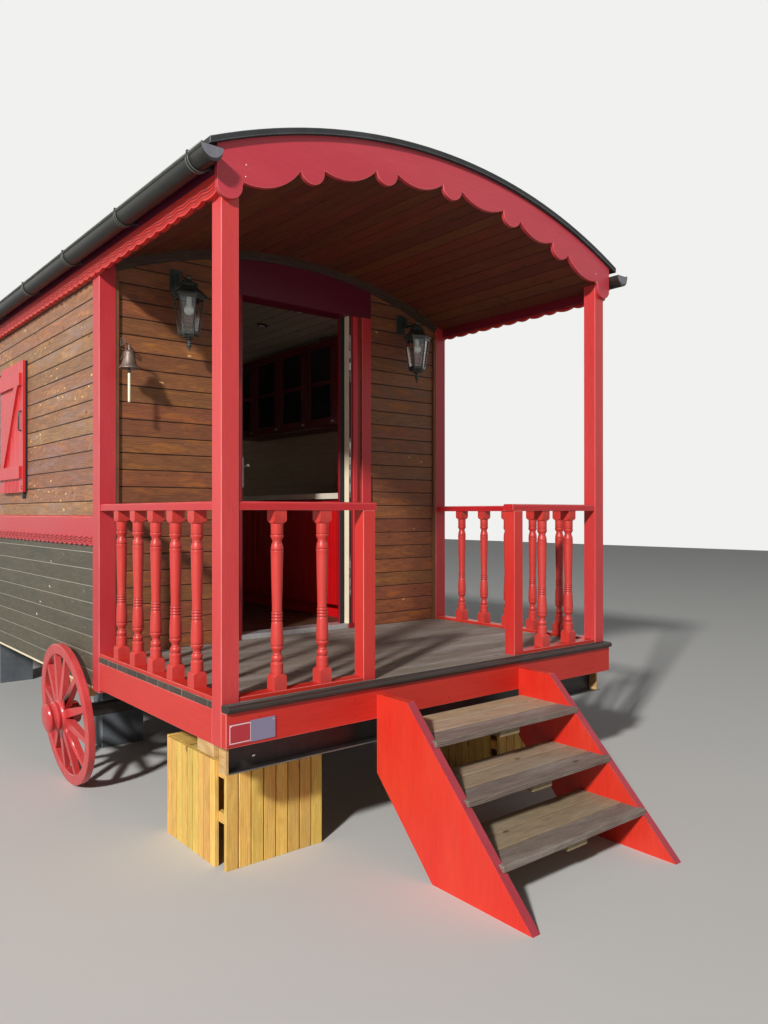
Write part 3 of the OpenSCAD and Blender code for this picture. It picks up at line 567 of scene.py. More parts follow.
# Cornice: nearly black-brown against the ceiling.
CORNICE_WOOD = SawnWood("stained_cornice", "porch_ceiling_boards", base="#3E2A1E", late="#2A1C14",
                        pale="#523A2A", patch="#483224", grain=Grain.X, knots=0.0, rings=0.3)
# Corner laths: plain mid-brown strips.
LATH_WOOD = SawnWood("brown_stained_lath", "stained_boards", base="#6A4022", late="#4A2A14", pale="#7A5030",
                     patch="#744A26", grain=Grain.Z, knots=0.0)
# Limed pine lining of the room: pale, with soft tan rings.
LINING = SawnWood("pale_stained_lining", "pale_boards", base="#C9BBA6", late="#B5A48A", knot="#8F7350",
                  pale="#D6CBB8", patch="#C8B290", joint="#75674F", knots=0.15, rings=0.35, mottle=0.12,
                  tone_spread=0.1, joint_width=0.003, roughness=0.5)
# Ceiling timber behind the lining, as pale as the boards.
LINING_PLAIN = SawnWood("pale_stained_core", "pale_boards", base="#CFC2AB", late="#BDAD8F", knot="#A78455",
                        pale="#DACFBB", patch="#CBB795", grain=Grain.Y, knots=0.1, rings=0.3, roughness=0.5)
# Tan boards behind the worktop, fine and matt.
BACKSPLASH = SawnWood("tan_backsplash_boards", "pale_boards", base="#B39C80", late="#A08868", knot="#8A6E4E",
                      pale="#C0AB90", patch="#B49A76", joint="#85705A", knots=0.05, rings=0.25, mottle=0.12,
                      tone_spread=0.06, joint_width=0.002)
# Oiled pine floor: honey brown with a soft shine.
FLOOR_WOOD = SawnWood("oiled_floor", "floor_boards", base="#A9825A", late="#8A6542", knot="#6B4A2E",
                      pale="#BE9A70", patch="#B58B5D", joint="#3A281A", knots=0.25, rings=0.5, roughness=0.45,
                      joint_width=0.0015)
# Weathered softwood deck: grey-brown with raised grain.
DECK_WOOD = SawnWood("weathered_deck", "weathered_wood", base="#756859", late="#4A4037", knot="#3D322A",
                     pale="#928880", patch="#867D75", weather_and_sheen="#9A948F", weather_and_sheen_share=0.16, knots=0.05,
                     rings=0.6, patches=0.4, tone_spread=0.34, roughness=0.72, gloss_spread=0.15, bump=0.0014)
# Sawn ends of the deck boards: dark, open and rough.
END_GRAIN = SawnWood("weathered_end_grain", "weathered_wood", base="#3C302A", late="#241C18", knot="#1E1814",
                     pale="#6A5C52", patch="#53463E", knots=0.0, rings=0.6, mottle=0.6, roughness=0.85)
# Tread planks, bleached to tan and silver grey.
TREAD_WOOD = SawnWood("weathered_tread", "weathered_wood", base="#9E886A", late="#65523C", knot="#4E3C28",
                      pale="#C2AC8C", patch="#8C8064", weather_and_sheen="#ACA08C", weather_and_sheen_share=0.16, knots=0.04,
                      rings=0.7, patches=0.5, mottle=0.35, tone_spread=0.34, hue_spread=0.03, roughness=0.78,
                      gloss_spread=0.12, bump=0.0016)
# Front planks of the treads, darkened and scuffed by boots.
TREAD_FRONT = SawnWood("worn_tread_front", "weathered_wood", base="#77675B", late="#40362F", knot="#2C2623",
                       pale="#9E8F82", patch="#7E7065", weather_and_sheen="#A89E94", weather_and_sheen_share=0.12, knots=0.03,
                       rings=0.7, patches=0.4, mottle=0.35, tone_spread=0.26, roughness=0.78,
                       gloss_spread=0.12, bump=0.0016)
# Cleats under the treads: raw wood gone dull.
CLEAT_WOOD = SawnWood("weathered_cleat", "joist_wood", base="#8F7C5C", late="#6A593E", knot="#4A3A26",
                      pale="#A8966F", patch="#85765A", grain=Grain.Y, knots=0.0)
# Dark stained nosing: nearly black with brown lights.
NOSING_WOOD = SawnWood("dark_nosing_wood", "dark_nosing", base="#281D18", late="#181210", knot="#120E0C",
                       pale="#3E322C", patch="#33261F", grain=Grain.X, knots=0.0, rings=0.4, roughness=0.55,
                       bump=0.001)
# Planed joists: clean yellow-brown pine.
JOIST_WOOD = SawnWood("planed_joist", "joist_wood", base="#C7A068", late="#A27A45", knot="#6D4526",
                      pale="#DCC08E", patch="#CDA76C", grain=Grain.Y, knots=0.2)
# Raw larch slats: bright yellow with orange grain, a tone a slat.
SLAT_WOOD = SawnWood("raw_slats", "larch", base="#DEB15A", late="#BA863A", knot="#7A4E22", pale="#EBCB7C",
                     patch="#D59B45", knots=0.2, rings=0.45, tone_spread=0.34, hue_spread=0.03, roughness=0.68)
# Mineral roof felt: dark grey with a fine grit.
ROOF_FELT = Granular("mineral_roof_felt", "roofing", colour="#3A3B3C", speckle="#232425", grit=420.0)
# Edge trim of the roof: pale grey, a painted highlight of the sky on its edge.
ROOF_EDGE_HIGHLIGHT = Granular("roof_edge_highlight", "roofing", colour="#75797C", speckle="#54585B", grit=420.0)
# Cast concrete blocks: blue-grey and pitted.
CONCRETE = Granular("cast_concrete", "concrete", colour="#676C70", speckle="#4A4F54")
# Arrises of the blocks, rubbed pale.
CONCRETE_PALE = Granular("pale_concrete_arris", "concrete", colour="#84888C", speckle="#666A6E")
# Painted gutter: nearly black with an olive cast and a soft sky light.
GUTTER_SKIN = Metal("olive_gutter", "gutter", colour="#151512", stain="#24241F", roughness=0.46)
# Rolled beads and straps of the gutter: paler grey, partly a painted highlight where they catch the light.
GUTTER_LIP_HIGHLIGHT = Metal("gutter_bead", "gutter", colour="#6A6C66", stain="#55574F", roughness=0.3)
# Line of painted shadow under the bead: matt black.
GUTTER_SHADE_LINE = Metal("gutter_shadow_line", "gutter", colour="#141512", stain="#20211D", roughness=0.6)
# End caps: mauve-grey and dusty.
GUTTER_END = Metal("gutter_end_cap", "gutter", colour="#6B6872", stain="#77747C", roughness=0.45)
# Black paint on rolled steel: a dull shine and brown stains.
BLACK_STEEL = Metal("black_channel", "black_steel", colour="#1B1817", stain="#2C2826", roughness=0.42)
# Cast lantern metal: black-green with a satin shine.
LANTERN_IRON = Metal("black_lantern_metal", "black_lantern", colour="#1E2321", stain="#39403B", roughness=0.34)
# Edges of the lanterns: pale green-grey, partly weathered and partly a painted highlight of the sun on the bars.
LANTERN_RIM_HIGHLIGHT = Metal("worn_lantern_arris_highlight", "black_lantern", colour="#A3AA9E", stain="#666E66", roughness=0.34)
# Grooves, creases and cusps painted dark brown-red as shade.
GROOVE_SHADE_RED = GlossPaint("red_paint_groove_shade", "red_paint", colour="#4A0A10", faded="#5A1016", grain=Grain.Y,
                        roughness=0.6)
# Aged bell metal: brown-grey, half dulled.
BELL_METAL = Metal("aged_bell_metal", "bell_brass", colour="#8E7A70", stain="#67574E", metallic=0.5,
                   roughness=0.46)
# Satin stainless steel of handles and hinges: soft white lights.
STEEL = Metal("satin_stainless", "satin_steel", colour="#C8C8C6", stain="#A9A9A6", metallic=1.0, roughness=0.3)
# Mill aluminium threshold: pale and slightly streaked.
ALUMINIUM = Metal("mill_aluminium", "aluminium", colour="#D9DADA", stain="#BFC0C0", metallic=0.7,
                  roughness=0.38)
# Float glass: clear with a sharp reflection.
WINDOW_GLASS = Smooth("float_glass", "glass", colour="#FFFFFF", shade_colour="#F4FAF8", roughness=0.06,
                      transmission=1.0, ior=1.45)
# Smoked cupboard panes: nearly black and glossy.
DARK_PANE = Smooth("smoked_cupboard_pane", "cupboards", colour="#15161A", shade_colour="#1E2026", roughness=0.12)
# Laminate of the kitchen fronts: bright, even red.
KITCHEN_RED = Smooth("red_laminate", "kitchen_fronts", colour="#CE1216", shade_colour="#BC0E14", roughness=0.3)
# Worktop laminate: dark brown and matt.
KITCHEN_TOP = Smooth("dark_worktop", "worktop", colour="#4A3A30", shade_colour="#3A2C24", roughness=0.4)
# Edge band of the worktop: cream.
KITCHEN_EDGE = Smooth("pale_worktop_edge", "worktop", colour="#E3DAC6", shade_colour="#D2C7AF", roughness=0.4)
# Cupboard frames: dark red with a satin shine.
CUPBOARD = Smooth("red_cupboard", "cupboards", colour="#6E1B22", shade_colour="#5C141A", roughness=0.35)
# Cream seals, strips and nail heads, soft and matt.
SEAL = Smooth("cream_door_seal", "red_paint", colour="#F6E8C8", shade_colour="#EAD9B4", roughness=0.5)
# Lock strips: black steel, chipped bright in patches.
LOCK_STRIP = Metal("dark_lock_strip", "satin_steel", colour="#1C1B1C", stain="#B9B7B2", roughness=0.4, speck=90.0,
                   stain_share=0.3)
# Enamelled red panels of the bare plate.
PLATE_RED = Smooth("red_sign_enamel", "red_paint", colour="#B8323C", shade_colour="#A92C36", roughness=0.3)
# Enamelled grey panel of the bare plate.
PLATE_GREY = Smooth("grey_sign_enamel", "red_paint", colour="#8C86A0", shade_colour="#7C7890", roughness=0.25)
# Rubber seals, and painted shade in the gaps behind the shutters and beside the door frame: dead black.
BLACK_SEAL_AND_SHADE = Metal("black_seal_and_painted_shade", "red_paint", colour="#0C0A0C", stain="#141014", roughness=0.8)
# Pale pink rim of the bare plate.
PLATE = Smooth("pale_sign_rim", "red_paint", colour="#E9C9C6", shade_colour="#DDB8B6", roughness=0.3)
# Frosted glass of bulbs and lenses: soft white.
BULB = Smooth("frosted_bulb", "bulb", colour="#F1F1EC", shade_colour="#E6E6E0", roughness=0.4)
# Braided cotton: cream, with grey in its hollows.
ROPE = Smooth("cotton_rope", "rope", colour="#F8EBD2", shade_colour="#E4D4B4", roughness=0.85)

NODE_FINISHES: dict[Finish, tuple[str, ...]] = {
    WALL_CORE: ("left_wall", "right_wall", "front_wall_left", "front_wall_right", "front_wall_over_door",
                "rear_wall", "porch_ceiling"),
    LINING_PLAIN: ("room_ceiling",),
    FLOOR_WOOD: ("floor",),
    WINDOW_GLASS: ("window_glass", "lantern_glass"),
}


@dataclass(frozen=True)
class Arris:
    """How the edges of a carried-over node are eased, and what its faces and worn edges are painted with.

    Attributes:
        finish: the finish of its faces.
        width: width of the eased edges, and 0 for none.
        worn: the finish of the eased edges, where it is another one; it is paler, partly as a painted highlight.
        body: the body that the node rides on.
        sloped: the finish of the faces that lean back, where it is another one.
    """

    finish: Finish
    width: float = 0.0
    worn: Finish | None = None
    body: str = "hut"
    sloped: Finish | None = None


TIMBERS: dict[str, Arris] = {
    "porch_posts": Arris(RED_POST, 0.0035, RED_ARRIS_WEAR_AND_HIGHLIGHT),
    "corner_boards": Arris(RED_CORNER, 0.0030, RED_ARRIS_WEAR_AND_HIGHLIGHT),
    "newels": Arris(RED_NEWEL, 0.0030, RED_ARRIS_WEAR_AND_HIGHLIGHT),
    "handrails": Arris(RED_RAIL, 0.0015, RED_ARRIS_WEAR_AND_HIGHLIGHT),
    "sole_plates": Arris(RED_X, 0.0020, RED_ARRIS_WEAR_AND_HIGHLIGHT),
    "balusters_front": Arris(RED_TURNED, 0.0006),
    "balusters_side": Arris(RED_TURNED, 0.0006),
    "stringers": Arris(RED_STEP, 0.0056, RED_CHIPPED, sloped=RED_EDGE),
    "front_fascia": Arris(RED_X, 0.0025, RED_ARRIS_WEAR_AND_HIGHLIGHT),
    "porch_rims": Arris(RED_Y, 0.0025, RED_ARRIS_WEAR_AND_HIGHLIGHT),
    "porch_plates": Arris(RED_INNER_SHADE, 0.0020),
    "front_bargeboard": Arris(RED_BARGE, 0.0022, RED_ARRIS_WEAR_AND_HIGHLIGHT),
    "rear_bargeboard": Arris(RED_BARGE, 0.0022, RED_ARRIS_WEAR_AND_HIGHLIGHT),
    "eave_boards": Arris(RED_Y, 0.0025, RED_ARRIS_WEAR_AND_HIGHLIGHT),
    "belt_rails": Arris(RED_BELT, 0.0025, RED_ARRIS_WEAR_AND_HIGHLIGHT),
    "door_casing": Arris(RED_UP, 0.0025, RED_ARRIS_WEAR_AND_HIGHLIGHT),
    "door_frame": Arris(RED_DARK_SHADE, 0.0020),
    "door_head_board": Arris(RED_HEAD_SHADE, 0.0020),
    "door_leaf": Arris(RED_UP, 0.0020, RED_ARRIS_WEAR_AND_HIGHLIGHT, "door"),
    "shutters": Arris(RED_UP, 0.0020, RED_ARRIS_WEAR_AND_HIGHLIGHT),
    "window_frames": Arris(RED_UP, 0.0020, RED_ARRIS_WEAR_AND_HIGHLIGHT),
    "wheels": Arris(RED_WHEEL, 0.0012, RED_ARRIS_WEAR_AND_HIGHLIGHT),
    "corner_laths": Arris(LATH_WOOD, 0.0015),
    "cornice": Arris(CORNICE_WOOD, 0.0015),
    "deck_nosing": Arris(NOSING_WOOD, 0.0015),
    "porch_joists": Arris(JOIST_WOOD, 0.0015),
    "rim_packers": Arris(JOIST_WOOD, 0.0015),
    "tread_cleats": Arris(CLEAT_WOOD, 0.0015),
    "roof_shell": Arris(ROOF_FELT, 0.0030, ROOF_EDGE_HIGHLIGHT),
    "support_blocks": Arris(CONCRETE, 0.0030, CONCRETE_PALE),
    "gutters": Arris(GUTTER_SKIN, 0.0006),
    "axles": Arris(BLACK_STEEL, 0.0015),
    "chassis_beams": Arris(BLACK_STEEL, 0.0010),
    "end_channels": Arris(BLACK_STEEL, 0.0010),
    "lanterns": Arris(LANTERN_IRON, 0.0016, LANTERN_RIM_HIGHLIGHT),
    "lantern_bulbs": Arris(BULB, 0.0),
    "door_bell": Arris(BELL_METAL, 0.0005),
    "door_handles": Arris(STEEL, 0.0010, None, "door"),
    "hinge_pins": Arris(STEEL, 0.0005),
    "hinge_flags": Arris(STEEL, 0.0005, None, "door"),
    "threshold": Arris(ALUMINIUM, 0.0020),
    "kitchen_base": Arris(KITCHEN_RED, 0.0010),
    "kitchen_worktop": Arris(KITCHEN_TOP, 0.0030),
    "wall_cupboards": Arris(CUPBOARD, 0.0010),
}


def dress_nodes() -> None:
    """Gives the nodes that stay as they are the material of their finish."""
    for finish, names in NODE_FINISHES.items():
        for name in names:
            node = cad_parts[name]
            node.data.materials.clear()
            node.data.materials.append(finish.material())
            log.info("%s is dressed in %s", name, finish.name)


def ease_node(node: str, arris: Arris) -> bpy.types.Object:
    """Stands a copy of a node in for it, with merged faces, eased edges and smooth round parts.

    Args:
        node: the frame's node.
        arris: the width of the eased edge, the finishes and the body.

    Returns:
        The new object, which replaces the node.
    """
    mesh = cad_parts[node].data.copy()
    work = bmesh.new()
    work.from_mesh(mesh)
    bmesh.ops.remove_doubles(work, verts=work.verts, dist=MERGE_DISTANCE)
    bmesh.ops.dissolve_limit(work, angle_limit=FLAT_ANGLE, verts=work.verts, edges=work.edges)
    work.to_mesh(mesh)
    work.free()
    mesh.materials.clear()
    for finish in (arris.finish, arris.worn or arris.finish, arris.sloped or arris.finish):
        mesh.materials.append(finish.material())
    out = np.empty(3 * len(mesh.polygons), np.float32)
    mesh.polygons.foreach_get("normal", out)
    leans = (out[2::3] > LEANING[0]) & (out[2::3] < LEANING[1])
    mesh.polygons.foreach_set("material_index", np.where(leans, 2, 0).astype(np.int32))
    mesh.polygons.foreach_set("use_smooth", np.ones(len(mesh.polygons), bool))
    mesh.set_sharp_from_angle(angle=SHARP_ANGLE)
    piece = stand(node + "_eased", mesh)
    if arris.width:
        bevel = piece.modifiers.new("eased", "BEVEL")
        bevel.width = arris.width
        bevel.segments = 2
        bevel.limit_method = "ANGLE"
        bevel.angle_limit = BEVEL_ANGLE
        bevel.harden_normals = True
        bevel.material = 1 if arris.worn else -1
    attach(piece, arris.body)
    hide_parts(node)
    return piece


def put_mesh(name: str, points: np.ndarray, faces: list, finish: Finish, body: str = "hut",
             smooth: bool = False, marks: dict[str, np.ndarray] | None = None,
             replaces: tuple[str, ...] = ()) -> bpy.types.Object:
    """Puts points and faces into a mesh object that rides on a body.

    Args:
        name: the piece's name.
        points: (n, 3) array, measured from the post fronts and the deck top.
        faces: lists of point numbers.
        finish: the finish of the piece.
        body: the body that it rides on.
        smooth: True for a curved surface.
        marks: float or vector attributes on the points, by name.
        replaces: nodes of the frame that the piece stands for.

    Returns:
        The new object.
    """
    mesh = bpy.data.meshes.new(name)
    mesh.from_pydata(into_frame(points.reshape(-1, 3)).tolist(), [], faces)
    for key, values in (marks or {}).items():
        kind = "FLOAT_VECTOR" if values.ndim > 1 and values.shape[-1] == 3 else "FLOAT"
        layer = mesh.attributes.new(key, kind, "POINT")
        layer.data.foreach_set("vector" if kind == "FLOAT_VECTOR" else "value",
                               np.ascontiguousarray(values, dtype=np.float32).ravel())
    mesh.polygons.foreach_set("use_smooth", np.full(len(mesh.polygons), smooth))
    mesh.materials.append(finish.material())
    mesh.validate()
    piece = stand(name, mesh)
    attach(piece, body)
    if replaces:
        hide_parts(*replaces)
    log.info("%s: %d faces", name, len(mesh.polygons))
    return piece


def prism_faces(count: int, corners: int, stations: int = 2, flip: bool = False) -> list:
    """Faces of many closed prisms whose points are ordered by prism, station and corner."""
    ring = np.arange(corners)
    quad = np.stack([ring, (ring + 1) % corners, (ring + 1) % corners + corners, ring + corners], -1)
    steps = np.arange(stations - 1)[:, None, None] * corners
    starts = np.arange(count)[:, None, None, None] * corners * stations
    sides = (starts + steps[None] + quad[None, None]).reshape(-1, 4)
    low = (np.arange(count)[:, None] * corners * stations + ring[::-1])
    high = (np.arange(count)[:, None] * corners * stations + ring + (stations - 1) * corners)
    turn = -1 if flip else 1
    return sides[:, ::turn].tolist() + low[:, ::turn].tolist() + high[:, ::turn].tolist()


def keeps_hand(place: Place, along: float, across: float) -> bool:
    """True where a placing function keeps the hand of (along, across, depth)."""
    steps = np.array([[0, 0, 0], [1e-3, 0, 0], [0, 1e-3, 0], [0, 0, 1e-3]])
    spots_at = place(along + steps[:, 0], across + steps[:, 1], steps[:, 2])
    return bool(np.linalg.det(spots_at[1:] - spots_at[0]) > 0)


class Section(Enum):
    """Cross-sections of a board, from its back at the low edge round to its back at the high edge."""

    EASED = "eased"
    TONGUED = "tongued"


def section_points(kind: Section, width: np.ndarray, thick: np.ndarray,
                   ease: float) -> tuple[np.ndarray, np.ndarray]:
    """Corners of a board's cross-section.

    Args:
        kind: EASED for a plank with four round arrises, TONGUED for a board whose front edges are
            bevelled down to the joint.
        width, thick: (n, 1) arrays of each board's width and thickness.
        ease: radius or width of the eased edge.

    Returns:
        Place across the board and height over its back, as (n, corners) arrays.
    """
    if kind is Section.TONGUED:
        share = np.array([0, 0, 0, 0, 1, 1, 1, 1.0])
        shift = np.array([0.0, 0.0, 0.45 * ease, ease, -0.8 * ease, -0.3 * ease, 0.0, 0.0])
        depth = np.array([-0.3, 0.12, 0.8, 1.0, 1.0, 0.75, 0.2, -0.3])
        return share * width + shift, depth * thick
    share = np.repeat([0, 0, 1, 1.0], 3)
    shift = np.array([1, 0.29, 0, 0, 0.29, 1, -1, -0.29, 0, 0, -0.29, -1.0]) * ease
    level = np.array([0, 0, 0, 1, 1, 1, 1, 1, 1, 0, 0, 0.0])
    lift = np.array([0, 0.29, 1, -1, -0.29, 0, 0, -0.29, -1, 1, 0.29, 0.0]) * ease
    return share * width + shift, level * thick + lift


def lay_boards(name: str, cuts: np.ndarray, thickness: np.ndarray | float, place: Place, finish: Finish,
               section: Section = Section.EASED, ease: float = 0.002, base: np.ndarray | float = 0.0,
               seed: int = 1, body: str = "hut", replaces: tuple[str, ...] = (),
               under_ceiling: bool = False, rows: np.ndarray | None = None) -> bpy.types.Object:
    """Carries a board's cross-section along each board and puts them all into one piece.

    Along a board, four stations lie at its ends and one ease inside them, and the end sections are
    shrunk by 0.7 of the ease. Each board has a lot of its own: its grain starts at a random place and
    the third part of the board attribute, between 0 and 1, sets its tone.

    Args:
        name: the piece's name.
        cuts: (n, 4) array of start, end, low edge and high edge of each board.
        thickness: one for all, or one a board.
        place: turns (along, across, depth) into points.
        finish: the boards' finish.
        section: the shape of the cross-section.
        ease: width of the eased edges.
        base: depth of the boards' backs.
        seed: seed of the lots.
        body: the body that the boards ride on.
        replaces: nodes that they stand for.
        under_ceiling: True where the ends follow the curved ceiling.
        rows: (n, 2) array of the row that each piece belongs to and that row's low edge, for pieces
            of one board round an opening. Without it each piece is a board.

    Returns:
        The new object.
    """
    count = len(cuts)
    rows = np.stack([np.arange(count), cuts[:, 2]], 1) if rows is None else rows
    width = (cuts[:, 3] - cuts[:, 2])[:, None]
    thick = np.broadcast_to(np.asarray(thickness, float).reshape(-1, 1), (count, 1))
    across, depth = section_points(section, width, thick, ease)
    corners = across.shape[1]
    inset = 0.7 * ease if section is Section.EASED else 0.0
    shrink_across = 1 - 2 * inset / np.maximum(width, 4 * ease)
    shrink_depth = 1 - 2 * inset / np.maximum(thick, 4 * ease)
    ends = np.array([1.0, 0.0, 0.0, 1.0])[None, :, None]
    middle_across, middle_depth = width[:, None] / 2, thick[:, None] / 2
    across = np.where(ends > 0, middle_across + (across[:, None] - middle_across) * shrink_across[:, None],
                      across[:, None])
    depth = np.where(ends > 0, middle_depth + (depth[:, None] - middle_depth) * shrink_depth[:, None],
                     depth[:, None])
    start, end = cuts[:, 0], cuts[:, 1]
    along = np.stack([start, start + ease, end - ease, end], 1)[:, :, None] + np.zeros((1, 1, corners))
    height = cuts[:, 2][:, None, None] + across
    if under_ceiling:
        limit = arc_half_width(height)
        along = np.clip(along, -limit, limit)
    deep = depth + np.broadcast_to(np.asarray(base, float).reshape(-1, 1, 1), (count, 1, 1))
    rng = np.random.default_rng(seed)
    lot = rng.random((int(rows[:, 0].max()) + 1, 3))[rows[:, 0].astype(int)][:, :, None, None]
    up = height - rows[:, 1][:, None, None]
    board = np.stack([along + 20 * lot[:, 0], up + depth + lot[:, 1], np.broadcast_to(lot[:, 2], along.shape)], -1)
    edge = up if section is Section.TONGUED else np.minimum(across, width[:, None] - across)
    flip = keeps_hand(place, float(cuts[0, 0]), float(cuts[0, 2:].mean()))
    return put_mesh(name, place(along, height, deep), prism_faces(count, corners, 4, flip), finish, body,
                    marks={"board": board.reshape(-1, 3), "edge": edge.ravel()}, replaces=replaces)


def side_face(plane: float, outwards: int) -> Place:
    """Placing on a wall along Y: across is height, depth grows outwards from the plane."""
    return lambda along, across, depth: np.stack([plane + outwards * depth, along, across], -1)


def end_face(plane: float, outwards: int) -> Place:
    """Placing on a wall along X: across is height, depth grows outwards from the plane."""
    return lambda along, across, depth: np.stack([along, plane + outwards * depth, across], -1)


def ceiling_face(along: np.ndarray, across: np.ndarray, depth: np.ndarray) -> np.ndarray:
    """Placing under the curved ceiling: x = r sin(s / R), z = centre + r cos(s / R), r = R - depth."""
    angle = across / CEILING_RADIUS
    radius = CEILING_RADIUS - depth
    return np.stack([radius * np.sin(angle), along, ROOF_CENTRE + radius * np.cos(angle)], -1)


PLACES: dict[str, Place] = {
    "x": lambda along, across, depth: np.stack([along, across, depth], -1),
    "y": lambda along, across, depth: np.stack([across, along, depth], -1),
    "z": lambda along, across, depth: np.stack([across, depth, along], -1),
}
BOX_ORDER = {"x": (0, 1, 2, 3, 4, 5), "y": (2, 3, 0, 1, 4, 5), "z": (4, 5, 0, 1, 2, 3)}


def eased_boxes(name: str, boxes: list | np.ndarray, finish: Finish, along: str = "x", ease: float = 0.001,
                turn: Callable[[np.ndarray], np.ndarray] | None = None, **options) -> bpy.types.Object:
    """Boxes with eased edges, each given as x1, x2, y1, y2, z1, z2, with the grain along one axis."""
    sizes = np.atleast_2d(np.asarray(boxes, float))[:, BOX_ORDER[along]]
    place = PLACES[along]
    moved = (lambda *parts: turn(place(*parts))) if turn else place
    return lay_boards(name, sizes[:, :4], sizes[:, 5] - sizes[:, 4], moved, finish, ease=ease,
                      base=sizes[:, 4], **options)


def both_sides(boxes: list | np.ndarray) -> np.ndarray:
    """Boxes on the right, and the same ones mirrored to the left."""
    right = np.atleast_2d(np.asarray(boxes, float))
    left = right.copy()
    left[:, 0], left[:, 1] = -right[:, 1], -right[:, 0]
    return np.concatenate([right, left])


def tubes(name: str, routes: np.ndarray, radius: float, side: tuple[float, float, float], finish: Finish,
          sides: int = 8) -> bpy.types.Object:
    """Round tubes along flat routes.

    A ring's points are place + r (cos a side + sin a (tangent x side)).

    Args:
        name: the piece's name.
        routes: (tubes, stations, 3) array.
        radius: radius of the tubes.
        side: a unit vector square to all the routes.
        finish: the finish.
        sides: points in a ring.

    Returns:
        The new object.
    """
    routes = np.asarray(routes, float)
    tangent = np.gradient(routes, axis=1)
    tangent /= np.linalg.norm(tangent, axis=-1, keepdims=True)
    out = np.broadcast_to(np.array(side), tangent.shape)
    third = np.cross(tangent, out)
    angle = ring_angles(sides)
    ring = (np.cos(angle)[:, None] * out[:, :, None] + np.sin(angle)[:, None] * third[:, :, None]) * radius
    points = routes[:, :, None] + ring
    return put_mesh(name, points, prism_faces(len(routes), sides, routes.shape[1]), finish, smooth=True)


def domes(name: str, places: np.ndarray, facing: np.ndarray, radius: float, rise: float, finish: Finish,
          body: str = "hut", sides: int = 14) -> bpy.types.Object:
    """Low domes, such as the heads of screws, bolts and nails.

    Rings lie at radius r cos(t) and height h sin(t) for four steps of t, on a plane square to the way
    that each dome faces.

    Args:
        name: the piece's name.
        places: (n, 3) array of centres on the surface.
        facing: (n, 3) array, or one vector, that the domes face.
        radius: radius of a dome.
        rise: height of a dome.
        finish: the finish.
        body: the body that they ride on.
        sides: points in a ring.

    Returns:
        The new object.
    """
    places = np.atleast_2d(np.asarray(places, float))
    out = np.broadcast_to(np.asarray(facing, float), places.shape)
    helper = np.where(np.abs(out[:, 2:3]) > 0.9, np.array([[1.0, 0, 0]]), np.array([[0, 0, 1.0]]))
    first = np.cross(helper, out)
    first /= np.linalg.norm(first, axis=1, keepdims=True)
    second = np.cross(out, first)
    step = np.radians([0, 35, 62, 84])
    angle = ring_angles(sides)
    reach = radius * np.cos(step)[:, None, None]
    flat = reach * (np.cos(angle)[None, :, None] * first[:, None, None] + np.sin(angle)[None, :, None]
                    * second[:, None, None])
    points = places[:, None, None] + flat + out[:, None, None] * (rise * np.sin(step))[None, :, None, None]
    return put_mesh(name, points, prism_faces(len(places), sides, len(step)), finish, body, smooth=True)


def on_door(points: np.ndarray) -> np.ndarray:
    """Turns points drawn on the closed door about its hinge to where the door stands open."""
    x, y = points[..., 0] - DOOR_HINGE[0], points[..., 1] - DOOR_HINGE[1]
    cos, sin = math.cos(DOOR_OPEN), math.sin(DOOR_OPEN)
    return np.stack([DOOR_HINGE[0] + cos * x - sin * y, DOOR_HINGE[1] + sin * x + cos * y, points[..., 2]], -1)


@dataclass
class Camera:
    """The photograph's point of view: its place, its turn in degrees, and its focal length in pixels."""

    place: tuple[float, float, float] = (-2.735, -2.837, 0.756)
    yaw: float = 39.172
    pitch: float = 0.084
    roll: float = -0.013
    focal_pixels: float = 797.4
    frame_height: int = 1024
    sensor: float = 36.0
    nearest: float = 0.05

    def build(self) -> None:
        """Makes the camera, turned to the right of +Y by its yaw, and sets it."""
        data = bpy.data.cameras.new("view")
        data.sensor_width = self.sensor
        data.lens = self.focal_pixels * self.sensor / self.frame_height
        data.clip_start = self.nearest
        camera = stand("view", data)
        turn = (Matrix.Rotation(math.radians(-self.yaw), 4, "Z")
                @ Matrix.Rotation(math.radians(90 + self.pitch), 4, "X")
                @ Matrix.Rotation(math.radians(self.roll), 4, "Z"))
        camera.matrix_world = Matrix.Translation(Vector(into_frame(np.array(self.place)))) @ turn
        bpy.context.scene.camera = camera


@dataclass(frozen=True)
class Lamp:
    """A square area lamp: where it hangs, the length of its side, its power and the point that it faces."""

    name: str
    place: tuple[float, float, float]
    size: float
    energy: float
    aim: tuple[float, float, float] = (0.0, -0.8, 1.3)

    def hang(self) -> None:
        """Makes the lamp and turns it to its aim."""
        data = bpy.data.lights.new(self.name, "AREA")
        data.shape = "SQUARE"
        data.size = self.size
        data.energy = self.energy
        lamp = stand(self.name, data)
        lamp.location = self.place
        way = Vector(self.aim) - Vector(self.place)
        lamp.rotation_euler = way.to_track_quat("-Z", "Y").to_euler()


